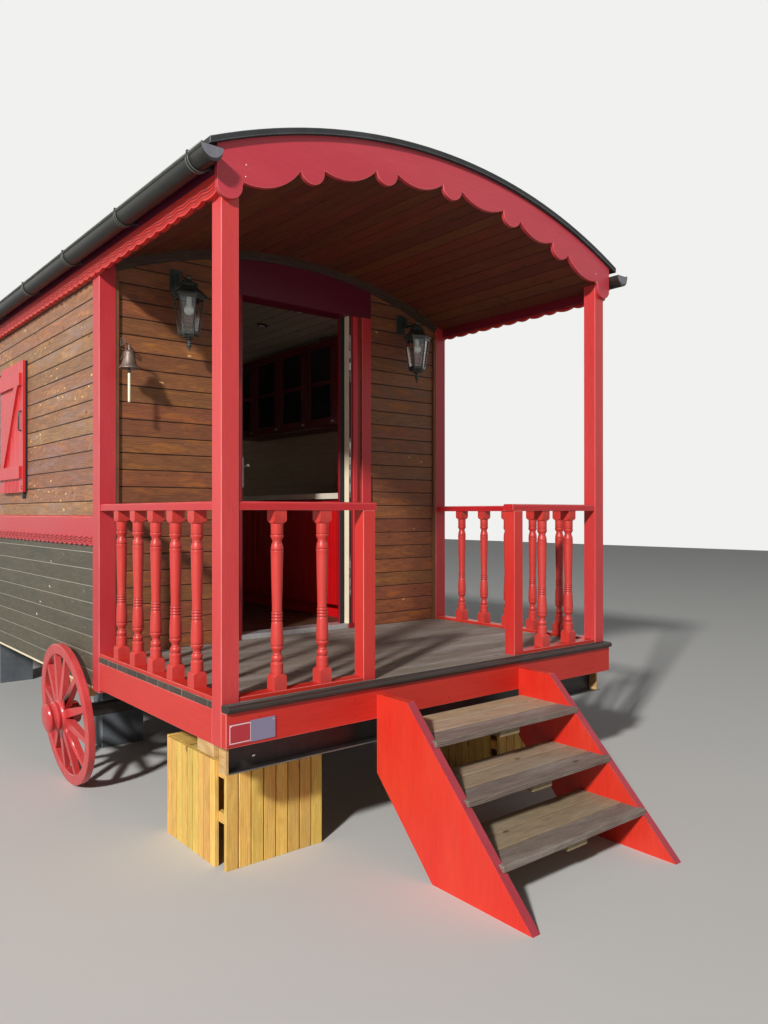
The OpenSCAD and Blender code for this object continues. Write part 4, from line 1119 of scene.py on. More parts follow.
@dataclass
class Studio:
    """Pale floor, pale surroundings and soft lamps, the key from the left as in the photograph.

    Attributes:
        floor_half: half the side of the floor.
        floor_colour: the floor's colour.
        air_colour: colour of the light from all round.
        sky: strength of that light.
        seen_colour: what the camera, mirrors and glass show of the surroundings.
        lamps: the lamps.
    """

    floor_half: float = 30.0
    floor_colour: str = "#CAC8C3"
    air_colour: str = "#DDE4EC"
    sky: float = 0.13
    seen_colour: str = "#F1F1EF"
    lamps: tuple[Lamp, ...] = (
        Lamp("key", (-18.1, -12.1, 12.2), 1.5, 6500.0),
        Lamp("sheen", (-4.8, 9.2, 3.2), 5.0, 24.0),
        Lamp("fill", (6.0, -9.0, 4.0), 6.0, 8.0),
        Lamp("back", (4.0, 12.0, 9.0), 6.0, 8.0),
    )

    def lay_floor(self) -> None:
        """Lays a plain square floor on the ground, for the stage alone."""
        half = self.floor_half
        mesh = bpy.data.meshes.new("floor")
        corners = [(-half, -half, 0), (half, -half, 0), (half, half, 0), (-half, half, 0)]
        mesh.from_pydata(corners, [], [(0, 1, 2, 3)])
        floor = stand("studio_floor", mesh)
        made = bpy.data.materials.new("studio_floor")
        made.use_nodes = True
        feed(made.node_tree.nodes["Principled BSDF"], Base_Color=self.floor_colour, Roughness=0.9)
        mesh.materials.append(made)

    def light_world(self) -> None:
        """Lights the world evenly, and shows a paler tone to the camera, in mirrors and through glass."""
        world = bpy.data.worlds.new("studio")
        bpy.context.scene.world = world
        world.use_nodes = True
        tree = world.node_tree
        air = tree.nodes["Background"]
        feed(air, Color=self.air_colour, Strength=self.sky)
        seen = add_node(tree, "Background", Color=self.seen_colour, Strength=1.0)
        rays = add_node(tree, "LightPath")
        shown = add_node(tree, "Math", rays.outputs["Is Camera Ray"], rays.outputs["Is Glossy Ray"],
                         operation="MAXIMUM")
        shown = add_node(tree, "Math", shown, rays.outputs["Is Transmission Ray"], operation="MAXIMUM")
        feed(tree.nodes["World Output"], Surface=add_node(tree, "MixShader", shown, air, seen))

    def build(self) -> None:
        """Lays the floor, lights the world and hangs the lamps."""
        self.lay_floor()
        self.light_world()
        for lamp in self.lamps:
            lamp.hang()
        bpy.context.scene.view_settings.view_transform = "Standard"


@dataclass
class BoardedWall:
    """Horizontal tongued boards on one wall, cut round its openings and under the ceiling.

    Attributes:
        name: the piece's name.
        place: placing on the wall.
        low, high: heights between which the rows run.
        joint: height of one joint.
        runs: start and end of the rows.
        finish: the boards' finish.
        gaps: openings as start, end, bottom and top.
        pitch: height of a row.
        thickness: how far the faces stand proud of the plane.
        under_ceiling: True where the ends follow the curved ceiling.
        seed: seed of the boards' lots.
    """

    name: str
    place: Place
    low: float
    high: float
    joint: float
    runs: tuple[float, float]
    finish: Finish
    gaps: tuple[tuple[float, float, float, float], ...] = ()
    pitch: float = BOARD_PITCH
    thickness: float = 0.005
    under_ceiling: bool = False
    seed: int = 1

    def rows(self) -> tuple[np.ndarray, np.ndarray]:
        """Rows cut at the openings.

        Returns:
            Start, end, bottom and top of each piece, and its row's number and the height of its joint.
        """
        first = self.joint + math.floor((self.low - self.joint) / self.pitch + 1e-6) * self.pitch
        cuts, rows = [], []
        for number, joint in enumerate(np.arange(first, self.high - 0.004, self.pitch)):
            low, high = max(joint, self.low), min(joint + self.pitch, self.high)
            here = [gap for gap in self.gaps if gap[2] < high and gap[3] > low]
            stops = sorted({*self.runs, *[edge for gap in here for edge in gap[:2]]})
            for start, end in zip(stops, stops[1:]):
                over = [gap for gap in here if gap[0] < (start + end) / 2 < gap[1]]
                spans = [(low, min(over[0][2], high)), (max(over[0][3], low), high)] if over else [(low, high)]
                for bottom, top in spans:
                    if top - bottom > 0.009:
                        cuts.append((start, end, bottom, top))
                        rows.append((number, joint))
        return np.array(cuts), np.array(rows)

    def build(self) -> bpy.types.Object:
        """Lays the rows as tongued boards with 4 mm bevels at the joints."""
        cuts, rows = self.rows()
        return lay_boards(self.name, cuts, self.thickness, self.place, self.finish, Section.TONGUED, 0.004,
                          seed=self.seed, under_ceiling=self.under_ceiling, rows=rows)


@dataclass
class Siding:
    """Outside boarding of the four walls, brown above the belt and charcoal below it."""

    side_joint: float = 1.825
    low_joint: float = 0.4486
    front_joint: float = 1.172
    belt_low: float = 0.598
    belt_high: float = 0.740
    side_top: float = 2.070
    top: float = 2.335

    def build(self) -> None:
        """Boards each wall round its window or doorway and adds the cream strips under the side walls."""
        run = (PORCH + CORNER_SIDE, BACK - CORNER_SIDE)
        ends = (CORNER_FRONT - HALF, HALF - CORNER_FRONT)
        for side, sign, window in SIDES:
            face = side_face(sign * WALL, sign)
            BoardedWall(side + "_upper_boards", face, self.belt_high, self.side_top, self.side_joint, run,
                        BROWN_SIDING, (window_hole(window),), seed=3 + sign).build()
            BoardedWall(side + "_lower_boards", face, SILL, self.belt_low, self.low_joint, run,
                        CHARCOAL_SIDING, seed=8 + sign).build()
        BoardedWall("porch_wall_boards", end_face(FRONT, -1), 0.0, self.top, self.front_joint, ends,
                    WARM_SIDING, (DOOR_HOLE,), under_ceiling=True, seed=21).build()
        rear = end_face(REAR, 1)
        BoardedWall("rear_wall_upper_boards", rear, self.belt_high, self.top, self.side_joint, ends,
                    BROWN_SIDING, under_ceiling=True, seed=31).build()
        BoardedWall("rear_wall_lower_boards", rear, SILL, self.belt_high, self.low_joint, ends,
                    CHARCOAL_SIDING, seed=32).build()
        strip = [WALL - 0.012, WALL + 0.004, *run, SILL - 0.012, SILL + 0.003]
        eased_boxes("sill_strips", both_sides(strip), SEAL, "y", 0.0015, seed=5)


@dataclass
class Linings:
    """Boards inside the room: walls, ceiling, floor, the backsplash and the two ceiling lamps."""

    rows_joint: float = 0.05
    pitch: float = 0.098
    thickness: float = 0.004
    side_top: float = 2.12
    top: float = 2.335
    splash: tuple[float, float, float] = (0.900, 1.430, 4.300)
    splash_pitch: float = 0.0883
    ceiling_joint: float = 0.069
    floor_half: float = 1.106
    floor_board: float = 0.1225
    floor_pitch: float = 0.123
    lamps: tuple[tuple[float, float], ...] = ((0.5787, 2.792), (0.5737, 2.230))

    def walls(self) -> None:
        """Lines the four walls and boards the wall behind the worktop."""
        run, across = (FRONT_IN, REAR_IN), (-INNER, INNER)
        for side, sign, window in SIDES:
            BoardedWall(side + "_lining", side_face(sign * INNER, -sign), 0.0, self.side_top, self.rows_joint,
                        run, LINING, (window_hole(window),), self.pitch, self.thickness,
                        seed=41 + sign).build()
        BoardedWall("rear_lining", end_face(REAR_IN, -1), 0.0, self.top, self.rows_joint, across,
                    LINING, (), self.pitch, self.thickness, True, 45).build()
        BoardedWall("front_lining", end_face(FRONT_IN, 1), 0.0, self.top, self.rows_joint, across,
                    LINING, (DOOR_HOLE,), self.pitch, 0.0025, True, 46).build()
        low, high, end = self.splash
        BoardedWall("backsplash", side_face(INNER - self.thickness, -1), low, high, low,
                    (FRONT_IN + self.thickness, end), BACKSPLASH, (), self.splash_pitch, self.thickness,
                    seed=47).build()

    def ceiling(self) -> None:
        """Boards both ceilings lengthwise, with joints 91.4 mm apart round the arc."""
        edges = self.ceiling_joint + BOARD_PITCH * np.arange(-14, 13)
        for name, finish, y1, y2, edge, seed in (
                ("porch_ceiling_boards", CEILING_WOOD, 0.0005, FRONT - 0.0005, HALF - 0.004, 51),
                ("room_ceiling_boards", LINING, FRONT_IN + 0.004, REAR_IN - 0.004, INNER - 0.004, 52)):
            limit = CEILING_RADIUS * math.asin(edge / CEILING_RADIUS)
            low, high = np.maximum(edges, -limit), np.minimum(edges + BOARD_PITCH, limit)
            kept = high - low > 0.012
            rows = np.stack([np.full(kept.sum(), y1), np.full(kept.sum(), y2), low[kept], high[kept]], 1)
            lay_boards(name, rows, 0.006, ceiling_face, finish, Section.TONGUED, 0.004, seed=seed)

    def floor(self) -> None:
        """Lays floor boards 122.5 mm wide and 4 mm proud of the floor, from wall to wall."""
        half = self.floor_half
        low = np.arange(-half, half, self.floor_pitch)
        rows = np.stack([np.full(len(low), FRONT_IN + 0.003), np.full(len(low), REAR_IN - 0.004), low,
                         np.minimum(low + self.floor_board, half)], 1)
        lay_boards("room_floor_boards", rows, 0.006, PLACES["y"], FLOOR_WOOD, ease=0.001, base=-0.002, seed=53)

    def downlights(self) -> None:
        """Sets two lamps with a dark ring and a pale lens into the room's ceiling."""
        for number, (x, y) in enumerate(self.lamps):
            radius = CEILING_RADIUS - 0.006
            out = np.array([-x, 0.0, ROOF_CENTRE - under_arc(radius, x)])
            out /= np.linalg.norm(out)
            centre = np.array([x, y, under_arc(radius, x)])
            domes(f"downlight_ring_{number}", centre, out, 0.048, 0.008, LANTERN_IRON, sides=32)
            domes(f"downlight_lens_{number}", centre + 0.0072 * out, out, 0.027, 0.003, BULB, sides=24)

    def build(self) -> None:
        """Lines the room from the floor up."""
        self.floor()
        self.walls()
        self.ceiling()
        self.downlights()


@dataclass
class PorchFloor:
    """Deck boards across the porch, the reeded nosing and the planks of the steps."""

    pitch: float = 0.123
    gap: float = 0.005
    first_joint: float = 0.114
    thickness: float = 0.028
    post: float = 0.080
    rise: float = 0.195
    going: float = 0.187
    tread: float = 0.355
    tread_half: float = 0.475
    top_tread: float = -0.406
    reeds: tuple[float, ...] = (-0.008, -0.017, -0.026, -0.035)

    def deck(self) -> None:
        """Cuts the boards at the posts and the corner boards, with 5 mm gaps between them."""
        joints = self.first_joint + self.pitch * np.arange(12)
        low = np.concatenate([[0.0], joints + self.gap / 2])
        high = np.minimum(np.concatenate([joints - self.gap / 2, [FRONT]]), FRONT)
        low, high = low[low < FRONT - 0.02], high[: (low < FRONT - 0.02).sum()]
        full, inside, corner = HALF, HALF - self.post, HALF - CORNER_FRONT
        under = -self.thickness
        boxes = [(-inside, inside, low[0], high[0], under, 0.0)]
        boxes += [(a, b, self.post, high[0], under, 0.0) for a, b in ((-full, -inside), (inside, full))]
        for start, end in zip(low[1:], high[1:]):
            spans = [(-full, full, end)]
            if end > PORCH:
                spans = [(-corner, corner, end), (-full, -corner, PORCH), (corner, full, PORCH)]
            boxes += [(a, b, start, stop, under, 0.0) for a, b, stop in spans]
        eased_boxes("deck_boards", boxes, DECK_WOOD, "x", 0.0022, seed=61, replaces=("porch_deck",))
        rows = sorted({(box[2], box[3]) for box in boxes if box[1] >= HALF - 1e-6})
        ends = both_sides([(HALF - 0.002, HALF + 0.0006, a + 0.001, b - 0.001, under + 0.001, -0.0008)
                           for a, b in rows])
        eased_boxes("deck_board_ends", ends, END_GRAIN, "z", 0.0004, seed=62)
        ridges = [[(0.002 - HALF, y, 0.0), (HALF - 0.002, y, 0.0)] for y in self.reeds]
        tubes("nosing_reeds", np.array(ridges), 0.0016, (0, 0, 1), NOSING_WOOD, 6)

    def steps(self) -> None:
        """Lays three planks a tread, 115 mm wide with 5 mm gaps, the front one greyer and more worn."""
        width = (self.tread - 2 * self.gap) / 3
        number, plank = np.meshgrid([1, 2, 3], [0, 1, 2], indexing="ij")
        top = -self.rise * (4 - number)
        y = self.top_tread - self.going * (3 - number) + plank * (width + self.gap)
        side = np.full(top.shape, self.tread_half)
        boxes = np.stack([-side, side, y, y + width, top - self.thickness, top], -1)
        eased_boxes("tread_fronts", boxes[:, 0], TREAD_FRONT, "x", 0.005, seed=63)
        eased_boxes("tread_planks", boxes[:, 1:].reshape(-1, 6), TREAD_WOOD, "x", 0.0035, seed=64,
                    replaces=("treads",))

    def build(self) -> None:
        """Lays the deck and the steps."""
        self.deck()
        self.steps()


@dataclass
class SupportSlats:
    """Two boxes of raw slats under the porch, with ledgers, cross planks and a bearer on top."""

    left: float = 0.600
    right: float = 1.118
    front: float = 0.235
    rear: float = 0.835
    height: float = 0.462
    thick: float = 0.020
    front_step: float = 0.06275
    side_step: float = 0.0552
    slit: float = 0.006
    batten: tuple[float, float] = (0.025, 0.045)
    plank: tuple[float, float] = (0.120, 0.028)
    bearer: tuple[float, float, float] = (0.690, 0.780, 0.056)

    def build(self) -> None:
        """Stands the slats round each box and lays what they carry."""
        base, top = GROUND, GROUND + self.height
        t = self.thick
        x = self.left + 0.007 + self.front_step * np.arange(8)
        y = self.front + 0.076 + self.side_step * np.arange(9)
        slats = [(a, a + self.front_step - self.slit, b, b + t, base, top)
                 for a in x for b in (self.front, self.rear - t)]
        slats += [(a, a + t, b, b + self.side_step - self.slit, base, top)
                  for b in y for a in (self.left, self.right - t)]
        eased_boxes("box_slats", both_sides(slats), SLAT_WOOD, "z", 0.0015, seed=71, replaces=("support_boxes",))
        left, right, front, rear = self.left + t, self.right - t, self.front + t, self.rear - t
        wide, high = self.batten
        across, along = [], []
        for z in (top - 0.073, base + 0.42 * self.height):
            across += [(left, right, b, b + wide, z, z + high) for b in (front, rear - wide)]
            along += [(a, a + wide, front + wide, rear - wide, z, z + high) for a in (left, right - wide)]
        broad, thin = self.plank
        across += [(left, right, b, b + broad, top - thin, top) for b in self.front + 0.027 + 0.213 * np.arange(3)]
        eased_boxes("box_ledgers_across", both_sides(across), SLAT_WOOD, "x", 0.0015, seed=72)
        eased_boxes("box_ledgers_along", both_sides(along), SLAT_WOOD, "y", 0.0015, seed=73)
        inner, outer, deep = self.bearer
        eased_boxes("box_bearers", both_sides([inner, outer, self.front, self.rear, top, top + deep]),
                    SLAT_WOOD, "y", 0.002, seed=74)


def lobe_rise(y: np.ndarray, start: float, end: float, long: float, short: float, drop: float) -> np.ndarray:
    """Rise of a wavy lower edge over the lowest points of its lobes.

    A lobe with a chord c and a drop d is an arc: rise = r - sqrt(r^2 - (y - middle)^2), with
    r = (c^2 / 4 + d^2) / (2 d). Long and short lobes take turns, and the stretch holds a whole number.

    Args:
        y: places along the edge.
        start, end: the stretch's ends.
        long, short: chords of the two lobes before they are scaled to the stretch.
        drop: height of a lobe.

    Returns:
        The rise at each place, and the drop outside the stretch.
    """
    pair = (end - start) / math.floor((end - start) / (long + short))
    scale = pair / (long + short)
    place = (y - start) % pair
    first = place < scale * long
    chord = scale * np.where(first, long, short)
    middle = scale * np.where(first, long / 2, long + short / 2)
    radius = (chord**2 / 4 + drop**2) / (2 * drop)
    rise = radius - np.sqrt(np.maximum(radius**2 - (place - middle) ** 2, 0))
    return np.where((y >= start) & (y <= end), rise, drop)


@dataclass
class Mouldings:
    """Routed wavy lines on the eave boards and the belt rails, and the lobes that hang under the rails."""

    drop: float = 0.012
    belt_face: float = WALL + 0.018

    def lines(self, name: str, face: float, y: np.ndarray, edge: np.ndarray, finish: Finish) -> None:
        """Runs three wavy beads with two grooves between them, painted dark as shade, over an edge, on both sides."""
        wave = np.convolve(np.pad(edge, 3, "edge"), np.ones(7) / 7, "valid")
        # The grooves are thin tubes painted dark as shade.
        for kind, radius, inset, rises, paint in (("beads", 0.0042, 0.0006, (0.0150, 0.0295, 0.0440), finish),
                                                  ("grooves", 0.0022, 0.0012, (0.0222, 0.0368), GROOVE_SHADE_RED)):
            routes = [np.stack([np.full(y.shape, sign * (face - inset)), y, wave + rise], -1)
                      for sign in (-1, 1) for rise in rises]
            tubes(f"{name}_{kind}", np.array(routes), radius, (1, 0, 0), paint, 8)

    def eaves(self) -> None:
        """Lines the eave boards and lays a skin of painted shade, the gutter's shadow, over the upper half of each
        face.
        """
        y = np.linspace(0.004, BACK - 0.004, 900)
        edge = EAVE + np.minimum(lobe_rise(y, 0.0, PORCH, 0.125, 0.093, self.drop),
                                 lobe_rise(y, PORCH, BACK, 0.092, 0.078, self.drop))
        self.lines("eave", EAVE_FACE, y, edge, RED_Y)
        # Skin of painted shade: the gutter's shadow on the upper half of each eave board.
        eased_boxes("eave_gutter_shade", both_sides([EAVE_FACE - 0.002, EAVE_FACE + 0.0006, 0.001, BACK - 0.001,
                                               EAVE + 0.082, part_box("eave_boards")[1].z - DECK_TOP - 0.002]),
                    RED_GUTTER_SHADE, "y", 0.0004)

    def belt(self) -> None:
        """Hangs lobes 92 and 78 mm long under the belt rails, with lines over them and dark spots of painted shade
        between.
        """
        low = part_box("belt_rails")[0].z - DECK_TOP
        start, end = PORCH + CORNER_SIDE, BACK - CORNER_SIDE
        y = np.linspace(start, end, 1200)
        edge = low - self.drop + lobe_rise(y, start, end, 0.092, 0.078, self.drop)
        points = []
        for sign in (-1, 1):
            inner, outer = sign * (WALL + 0.004), sign * (self.belt_face - 0.0005)
            ring = [(inner, edge), (outer, edge), (outer, np.full(y.shape, low + 0.002)),
                    (inner, np.full(y.shape, low + 0.002))]
            ring = ring if sign > 0 else ring[::-1]
            points.append(np.stack([np.stack([np.full(y.shape, x), y, z], -1) for x, z in ring], 1))
        put_mesh("belt_lobes", np.array(points), prism_faces(2, 4, len(y), True), RED_BELT)
        self.lines("belt", self.belt_face, y[4:-4], edge[4:-4], RED_BELT)
        cusps = y[1:-1][(np.diff(edge)[:-1] > 0) & (np.diff(edge)[1:] < 0)]
        places = [(sign * self.belt_face, v, low - 0.003) for sign in (-1, 1) for v in cusps]
        # Dark spots of painted shade where the lobes meet.
        domes("belt_cusp_shade", np.array(places), np.sign(np.array(places)) * [1, 0, 0], 0.007, 0.0008, GROOVE_SHADE_RED)

    def build(self) -> None:
        """Adds the lines, the skins of painted shade and the lobes."""
        self.eaves()
        self.belt()


@dataclass
class GutterTrim:
    """Beads, shadow lines, straps' rings, clips and end caps of the two gutters."""

    middle: float = 1.328
    level: float = 2.139
    radius: float = 0.044
    start: float = -0.080
    end: float = BACK + 0.080
    lip: float = 0.017
    strap_pitch: float = 0.76
    straps: int = 9

    def straight(self, x: float, z: float) -> np.ndarray:
        """Routes along both gutters at a distance from the middle of the hut and a height."""
        return np.array([[(s * x, self.start, z), (s * x, self.end, z)] for s in (-1, 1)])

    def arc(self, sign: int, y: float, reach: float, level: float, count: int) -> np.ndarray:
        """Half ring under one gutter: middle + reach (cos t, sin t), from one brim round to the other."""
        angle = np.radians(np.linspace(180, 360, count))
        return np.stack([sign * self.middle + reach * np.cos(angle), np.full(count, y),
                         level + reach * np.sin(angle)], -1)

    def build(self) -> None:
        """Follows each gutter with its trim."""
        edge = self.middle + self.radius
        top = self.level + self.lip
        steps = self.strap_pitch * np.arange(self.straps)
        tubes("gutter_beads", self.straight(edge - 0.001, top), 0.005, (0, 0, 1), GUTTER_LIP_HIGHLIGHT, 10)
        tubes("gutter_shade_lines", self.straight(edge + 0.0005, top - 0.011), 0.0028, (0, 0, 1), GUTTER_SHADE_LINE, 8)
        rings = [self.arc(s, y, self.radius + 0.0045, self.level, 21)
                 for s in (-1, 1) for step in steps for y in (step + 0.033, step + 0.052)]
        tubes("gutter_rings", np.array(rings), 0.0022, (0, 1, 0), GUTTER_LIP_HIGHLIGHT, 6)
        clips = [(edge - 0.010, edge + 0.006, step + 0.036, step + 0.049, top - 0.002, top + 0.010)
                 for step in steps]
        eased_boxes("gutter_clips", both_sides(clips), GUTTER_SKIN, "y", 0.0015)
        fronts = (self.start - 0.0015, self.start), (self.end - 0.0040, self.end - 0.0003)
        caps = [[self.arc(s, y, self.radius + 0.002, self.level + 0.014, 25) for y in faces]
                for s in (-1, 1) for faces in fronts]
        put_mesh("gutter_end_caps", np.array(caps), prism_faces(4, 25, 2, True), GUTTER_END)


@dataclass
class Doorway:
    """Seals, strike plates, beads, lock strips and strips of painted shade on the frame, and the door's panel
    mouldings and lock cylinder.

    Attributes:
        clear, frame_side: half widths between the stops and between the sides of the frame.
        stop_face: where the front faces of the stops lie.
        sill: height of the threshold.
        lock_strips: low and high ends of the lock's strips.
        strikes: heights of the strike plates.
        panel_half, moulding: half width of a panel with its moulding, and the moulding's width.
        moulding_faces: where the mouldings lie on both faces of the closed leaf.
        panels: low and high ends of the panels.
        cylinder: the lock cylinder's place on the inner face of the closed leaf.
        cylinder_depth: distance between its two ends.
    """

    clear: float = 0.361
    frame_side: float = 0.398
    stop_face: float = FRONT + 0.045
    sill: float = 0.031
    lock_strips: tuple[tuple[float, float], ...] = ((1.62, 1.93), (0.86, 1.25), (0.21, 0.48))
    strikes: tuple[float, ...] = (1.90, 1.80, 1.72, 1.20, 1.10, 1.02, 0.92, 0.42, 0.30)
    panel_half: float = 0.270
    moulding: float = 0.014
    moulding_faces: tuple[tuple[float, float], ...] = ((1.451, 1.461), (1.485, 1.495))
    panels: tuple[tuple[float, float], ...] = ((0.170, 0.880), (1.180, 1.930))
    cylinder: tuple[float, float, float] = (0.336, 1.5035, 1.000)
    cylinder_depth: float = 0.061

    def frame_trim(self) -> None:
        """Adds seals, a soffit skin of painted shade, a strip of painted shadow, beads, the lock's strips and its
        plates to the frame.
        """
        side, front, top = self.frame_side, FRONT - 0.008, DOOR_TOP - 0.001
        stop, rise = self.stop_face, (self.sill, top)
        eased_boxes("door_seal", [side - 0.0016, side + 0.001, front + 0.003, stop - 0.002, *rise], SEAL, "z",
                    0.0008)
        eased_boxes("stop_seal", [self.clear + 0.0005, side + 0.0005, stop - 0.0018, stop + 0.001, *rise],
                    BLACK_SEAL_AND_SHADE, "z", 0.0008)
        # Plum soffit skin under the head of the frame: painted shade.
        eased_boxes("frame_soffit_shade", [0.001 - side, side - 0.001, front + 0.001, FRONT + 0.119, top - 0.0008,
                                     top + 0.002], RED_HEAD_SHADE, "x", 0.0005)
        eased_boxes("seal_shadow", [side + 0.001, side + 0.013, front - 0.0012, front + 0.001, *rise], BLACK_SEAL_AND_SHADE,
                    "z", 0.0005)
        strips = [(side + 0.0005, side + 0.012, front - 0.003, front, low, high) for low, high in self.lock_strips]
        eased_boxes("lock_strips", strips, LOCK_STRIP, "z", 0.0008)
        plates = [(side - 0.001, side + 0.008, front - 0.0045, front, z - 0.024, z + 0.024) for z in self.strikes]
        eased_boxes("strike_plates", plates, STEEL, "z", 0.0008)
        eased_boxes("frame_bead", both_sides([side + 0.027, side + 0.064, front - 0.010, front + 0.001, *rise]),
                    RED_UP, "z", 0.0048)

    def leaf_trim(self) -> None:
        """Frames the panels of the door on both faces and sets the lock cylinder's two ends."""
        half, wide = self.panel_half, self.moulding
        strips = []
        for faces in self.moulding_faces:
            for low, high in self.panels:
                rise = (low + wide, high - wide)
                strips += [(-half, half, *faces, low, low + wide), (-half, half, *faces, high - wide, high),
                           (-half, wide - half, *faces, *rise), (half - wide, half, *faces, *rise)]
        eased_boxes("door_mouldings", strips, RED_UP, "x", 0.003, on_door, body="door")
        ends = np.array(self.cylinder) - np.array([[0, 0, 0], [0, self.cylinder_depth, 0]])
        way = on_door(ends + [[0, 1, 0], [0, -1, 0]]) - on_door(ends)
        domes("lock_cylinders", on_door(ends), way, 0.009, 0.002, LANTERN_IRON, "door")

    def build(self) -> None:
        """Adds the trim of the frame and of the leaf."""
        self.frame_trim()
        self.leaf_trim()


@dataclass
class Kitchen:
    """Panes and pulls of the cupboards, the aluminium strip of a light under them, the pale edge of the worktop and
    the grooves of the base fronts.
    """

    cupboard_face: float = 0.800
    cupboard_start: float = 1.680
    cupboard_width: float = 0.408
    cupboards: int = 5
    base_face: float = 0.575
    base_end: float = 3.600
    base_doors: int = 4
    pane_border: float = 0.060
    pane_height: float = 0.263
    pane_levels: tuple[float, ...] = (1.491, 1.776)
    groove_pitch: float = 0.0876
    grooves: int = 24

    def build(self) -> None:
        """Glazes the cupboards and adds the pulls of all the doors."""
        face = self.cupboard_face
        starts = self.cupboard_start + self.cupboard_width * np.arange(self.cupboards)
        border, wide = self.pane_border, self.cupboard_width
        panes = [(face + 0.0085, face + 0.0118, y + border, y + wide - border, z, z + self.pane_height)
                 for y in starts for z in self.pane_levels]
        eased_boxes("cupboard_panes", panes, DARK_PANE, "y", 0.0008)
        pulls = [(face - 0.010, face, y + 0.016, y + 0.046, 1.452, 1.468) for y in starts]
        ends = FRONT_IN + (self.base_end - FRONT_IN) / self.base_doors * np.arange(1, self.base_doors + 1)
        pulls += [(self.base_face - 0.010, self.base_face, y - 0.056, y - 0.026, 0.800, 0.816) for y in ends]
        eased_boxes("kitchen_pulls", pulls, STEEL, "y", 0.002)
        eased_boxes("cupboard_light", [face + 0.040, face + 0.062, 2.340, 2.930, 1.4285, 1.4315], ALUMINIUM,
                    "y", 0.0008)
        eased_boxes("worktop_edge", [0.5485, 0.5505, FRONT_IN + 0.002, self.base_end + 0.008, 0.858, 0.898],
                    KITCHEN_EDGE, "y", 0.0006)
        grooves = [(self.base_face - 0.0008, self.base_face + 0.001, y, y + 0.003, 0.115, 0.840)
                   for y in FRONT_IN + 0.08 + self.groove_pitch * np.arange(self.grooves)]
        eased_boxes("front_grooves", grooves, DARK_PANE, "z", 0.0004)


@dataclass
class SignPlate:
    """Bare enamelled plate on the fascia: a pale rim round two plain panels, and two small screws."""

    corners: tuple[tuple[float, float], ...] = ((-1.243, -0.067), (-1.024, -0.064), (-1.024, -0.154),
                                                (-1.243, -0.157))
    face: float = -0.040
    thickness: float = 0.003

    def sheet(self, name: str, corners: np.ndarray, lift: float, thickness: float, finish: Finish) -> None:
        """One flat layer of the plate, a thin quadrilateral with a bevelled edge."""
        middle = corners.mean(0)
        inner = middle + (corners - middle) * np.array([0.985, 0.97])
        stations = [(corners, self.face - lift), (corners, self.face - lift - 0.7 * thickness),
                    (inner, self.face - lift - thickness)]
        points = np.stack([np.stack([ring[:, 0], np.full(4, y), ring[:, 1]], -1) for ring, y in stations])
        put_mesh(name, points[None, :, ::-1], prism_faces(1, 4, 3), finish)

    def part(self, start: float, end: float, height: float) -> np.ndarray:
        """Corners of the part of the plate between two shares of its length, at a share of its height."""
        outline = np.array(self.corners)
        middle = outline[:, 1].mean()
        level = middle + (outline[:, 1] - middle) * height
        x = outline[0, 0] + (outline[1, 0] - outline[0, 0]) * np.array([start, end, end, start])
        top = np.interp(x, outline[:2, 0], level[:2])
        foot = np.interp(x, outline[[3, 2], 0], level[[3, 2]])
        return np.stack([x, np.where([True, True, False, False], top, foot)], -1)

    def build(self) -> None:
        """Puts up a red backing, a thin pale border round its left part, a plain grey panel and two screws."""
        outline = np.array(self.corners)
        middle = outline.mean(0)
        self.sheet("sign_backing", outline, 0.0, self.thickness, PLATE_RED)
        self.sheet("sign_border", self.part(0.03, 0.46, 0.84), 0.0026, 0.0010, PLATE)
        self.sheet("sign_red_panel", self.part(0.045, 0.445, 0.74), 0.0032, 0.0010, PLATE_RED)
        self.sheet("sign_grey_panel", self.part(0.46, 0.975, 0.95), 0.0030, 0.0012, PLATE_GREY)
        screws = middle + (outline[[0, 1]] - middle) * np.array([0.88, 0.72])
        domes("sign_screws", np.stack([screws[:, 0], np.full(2, self.face - 0.0035), screws[:, 1]], -1),
              (0, -1, 0), 0.003, 0.0012, SEAL)


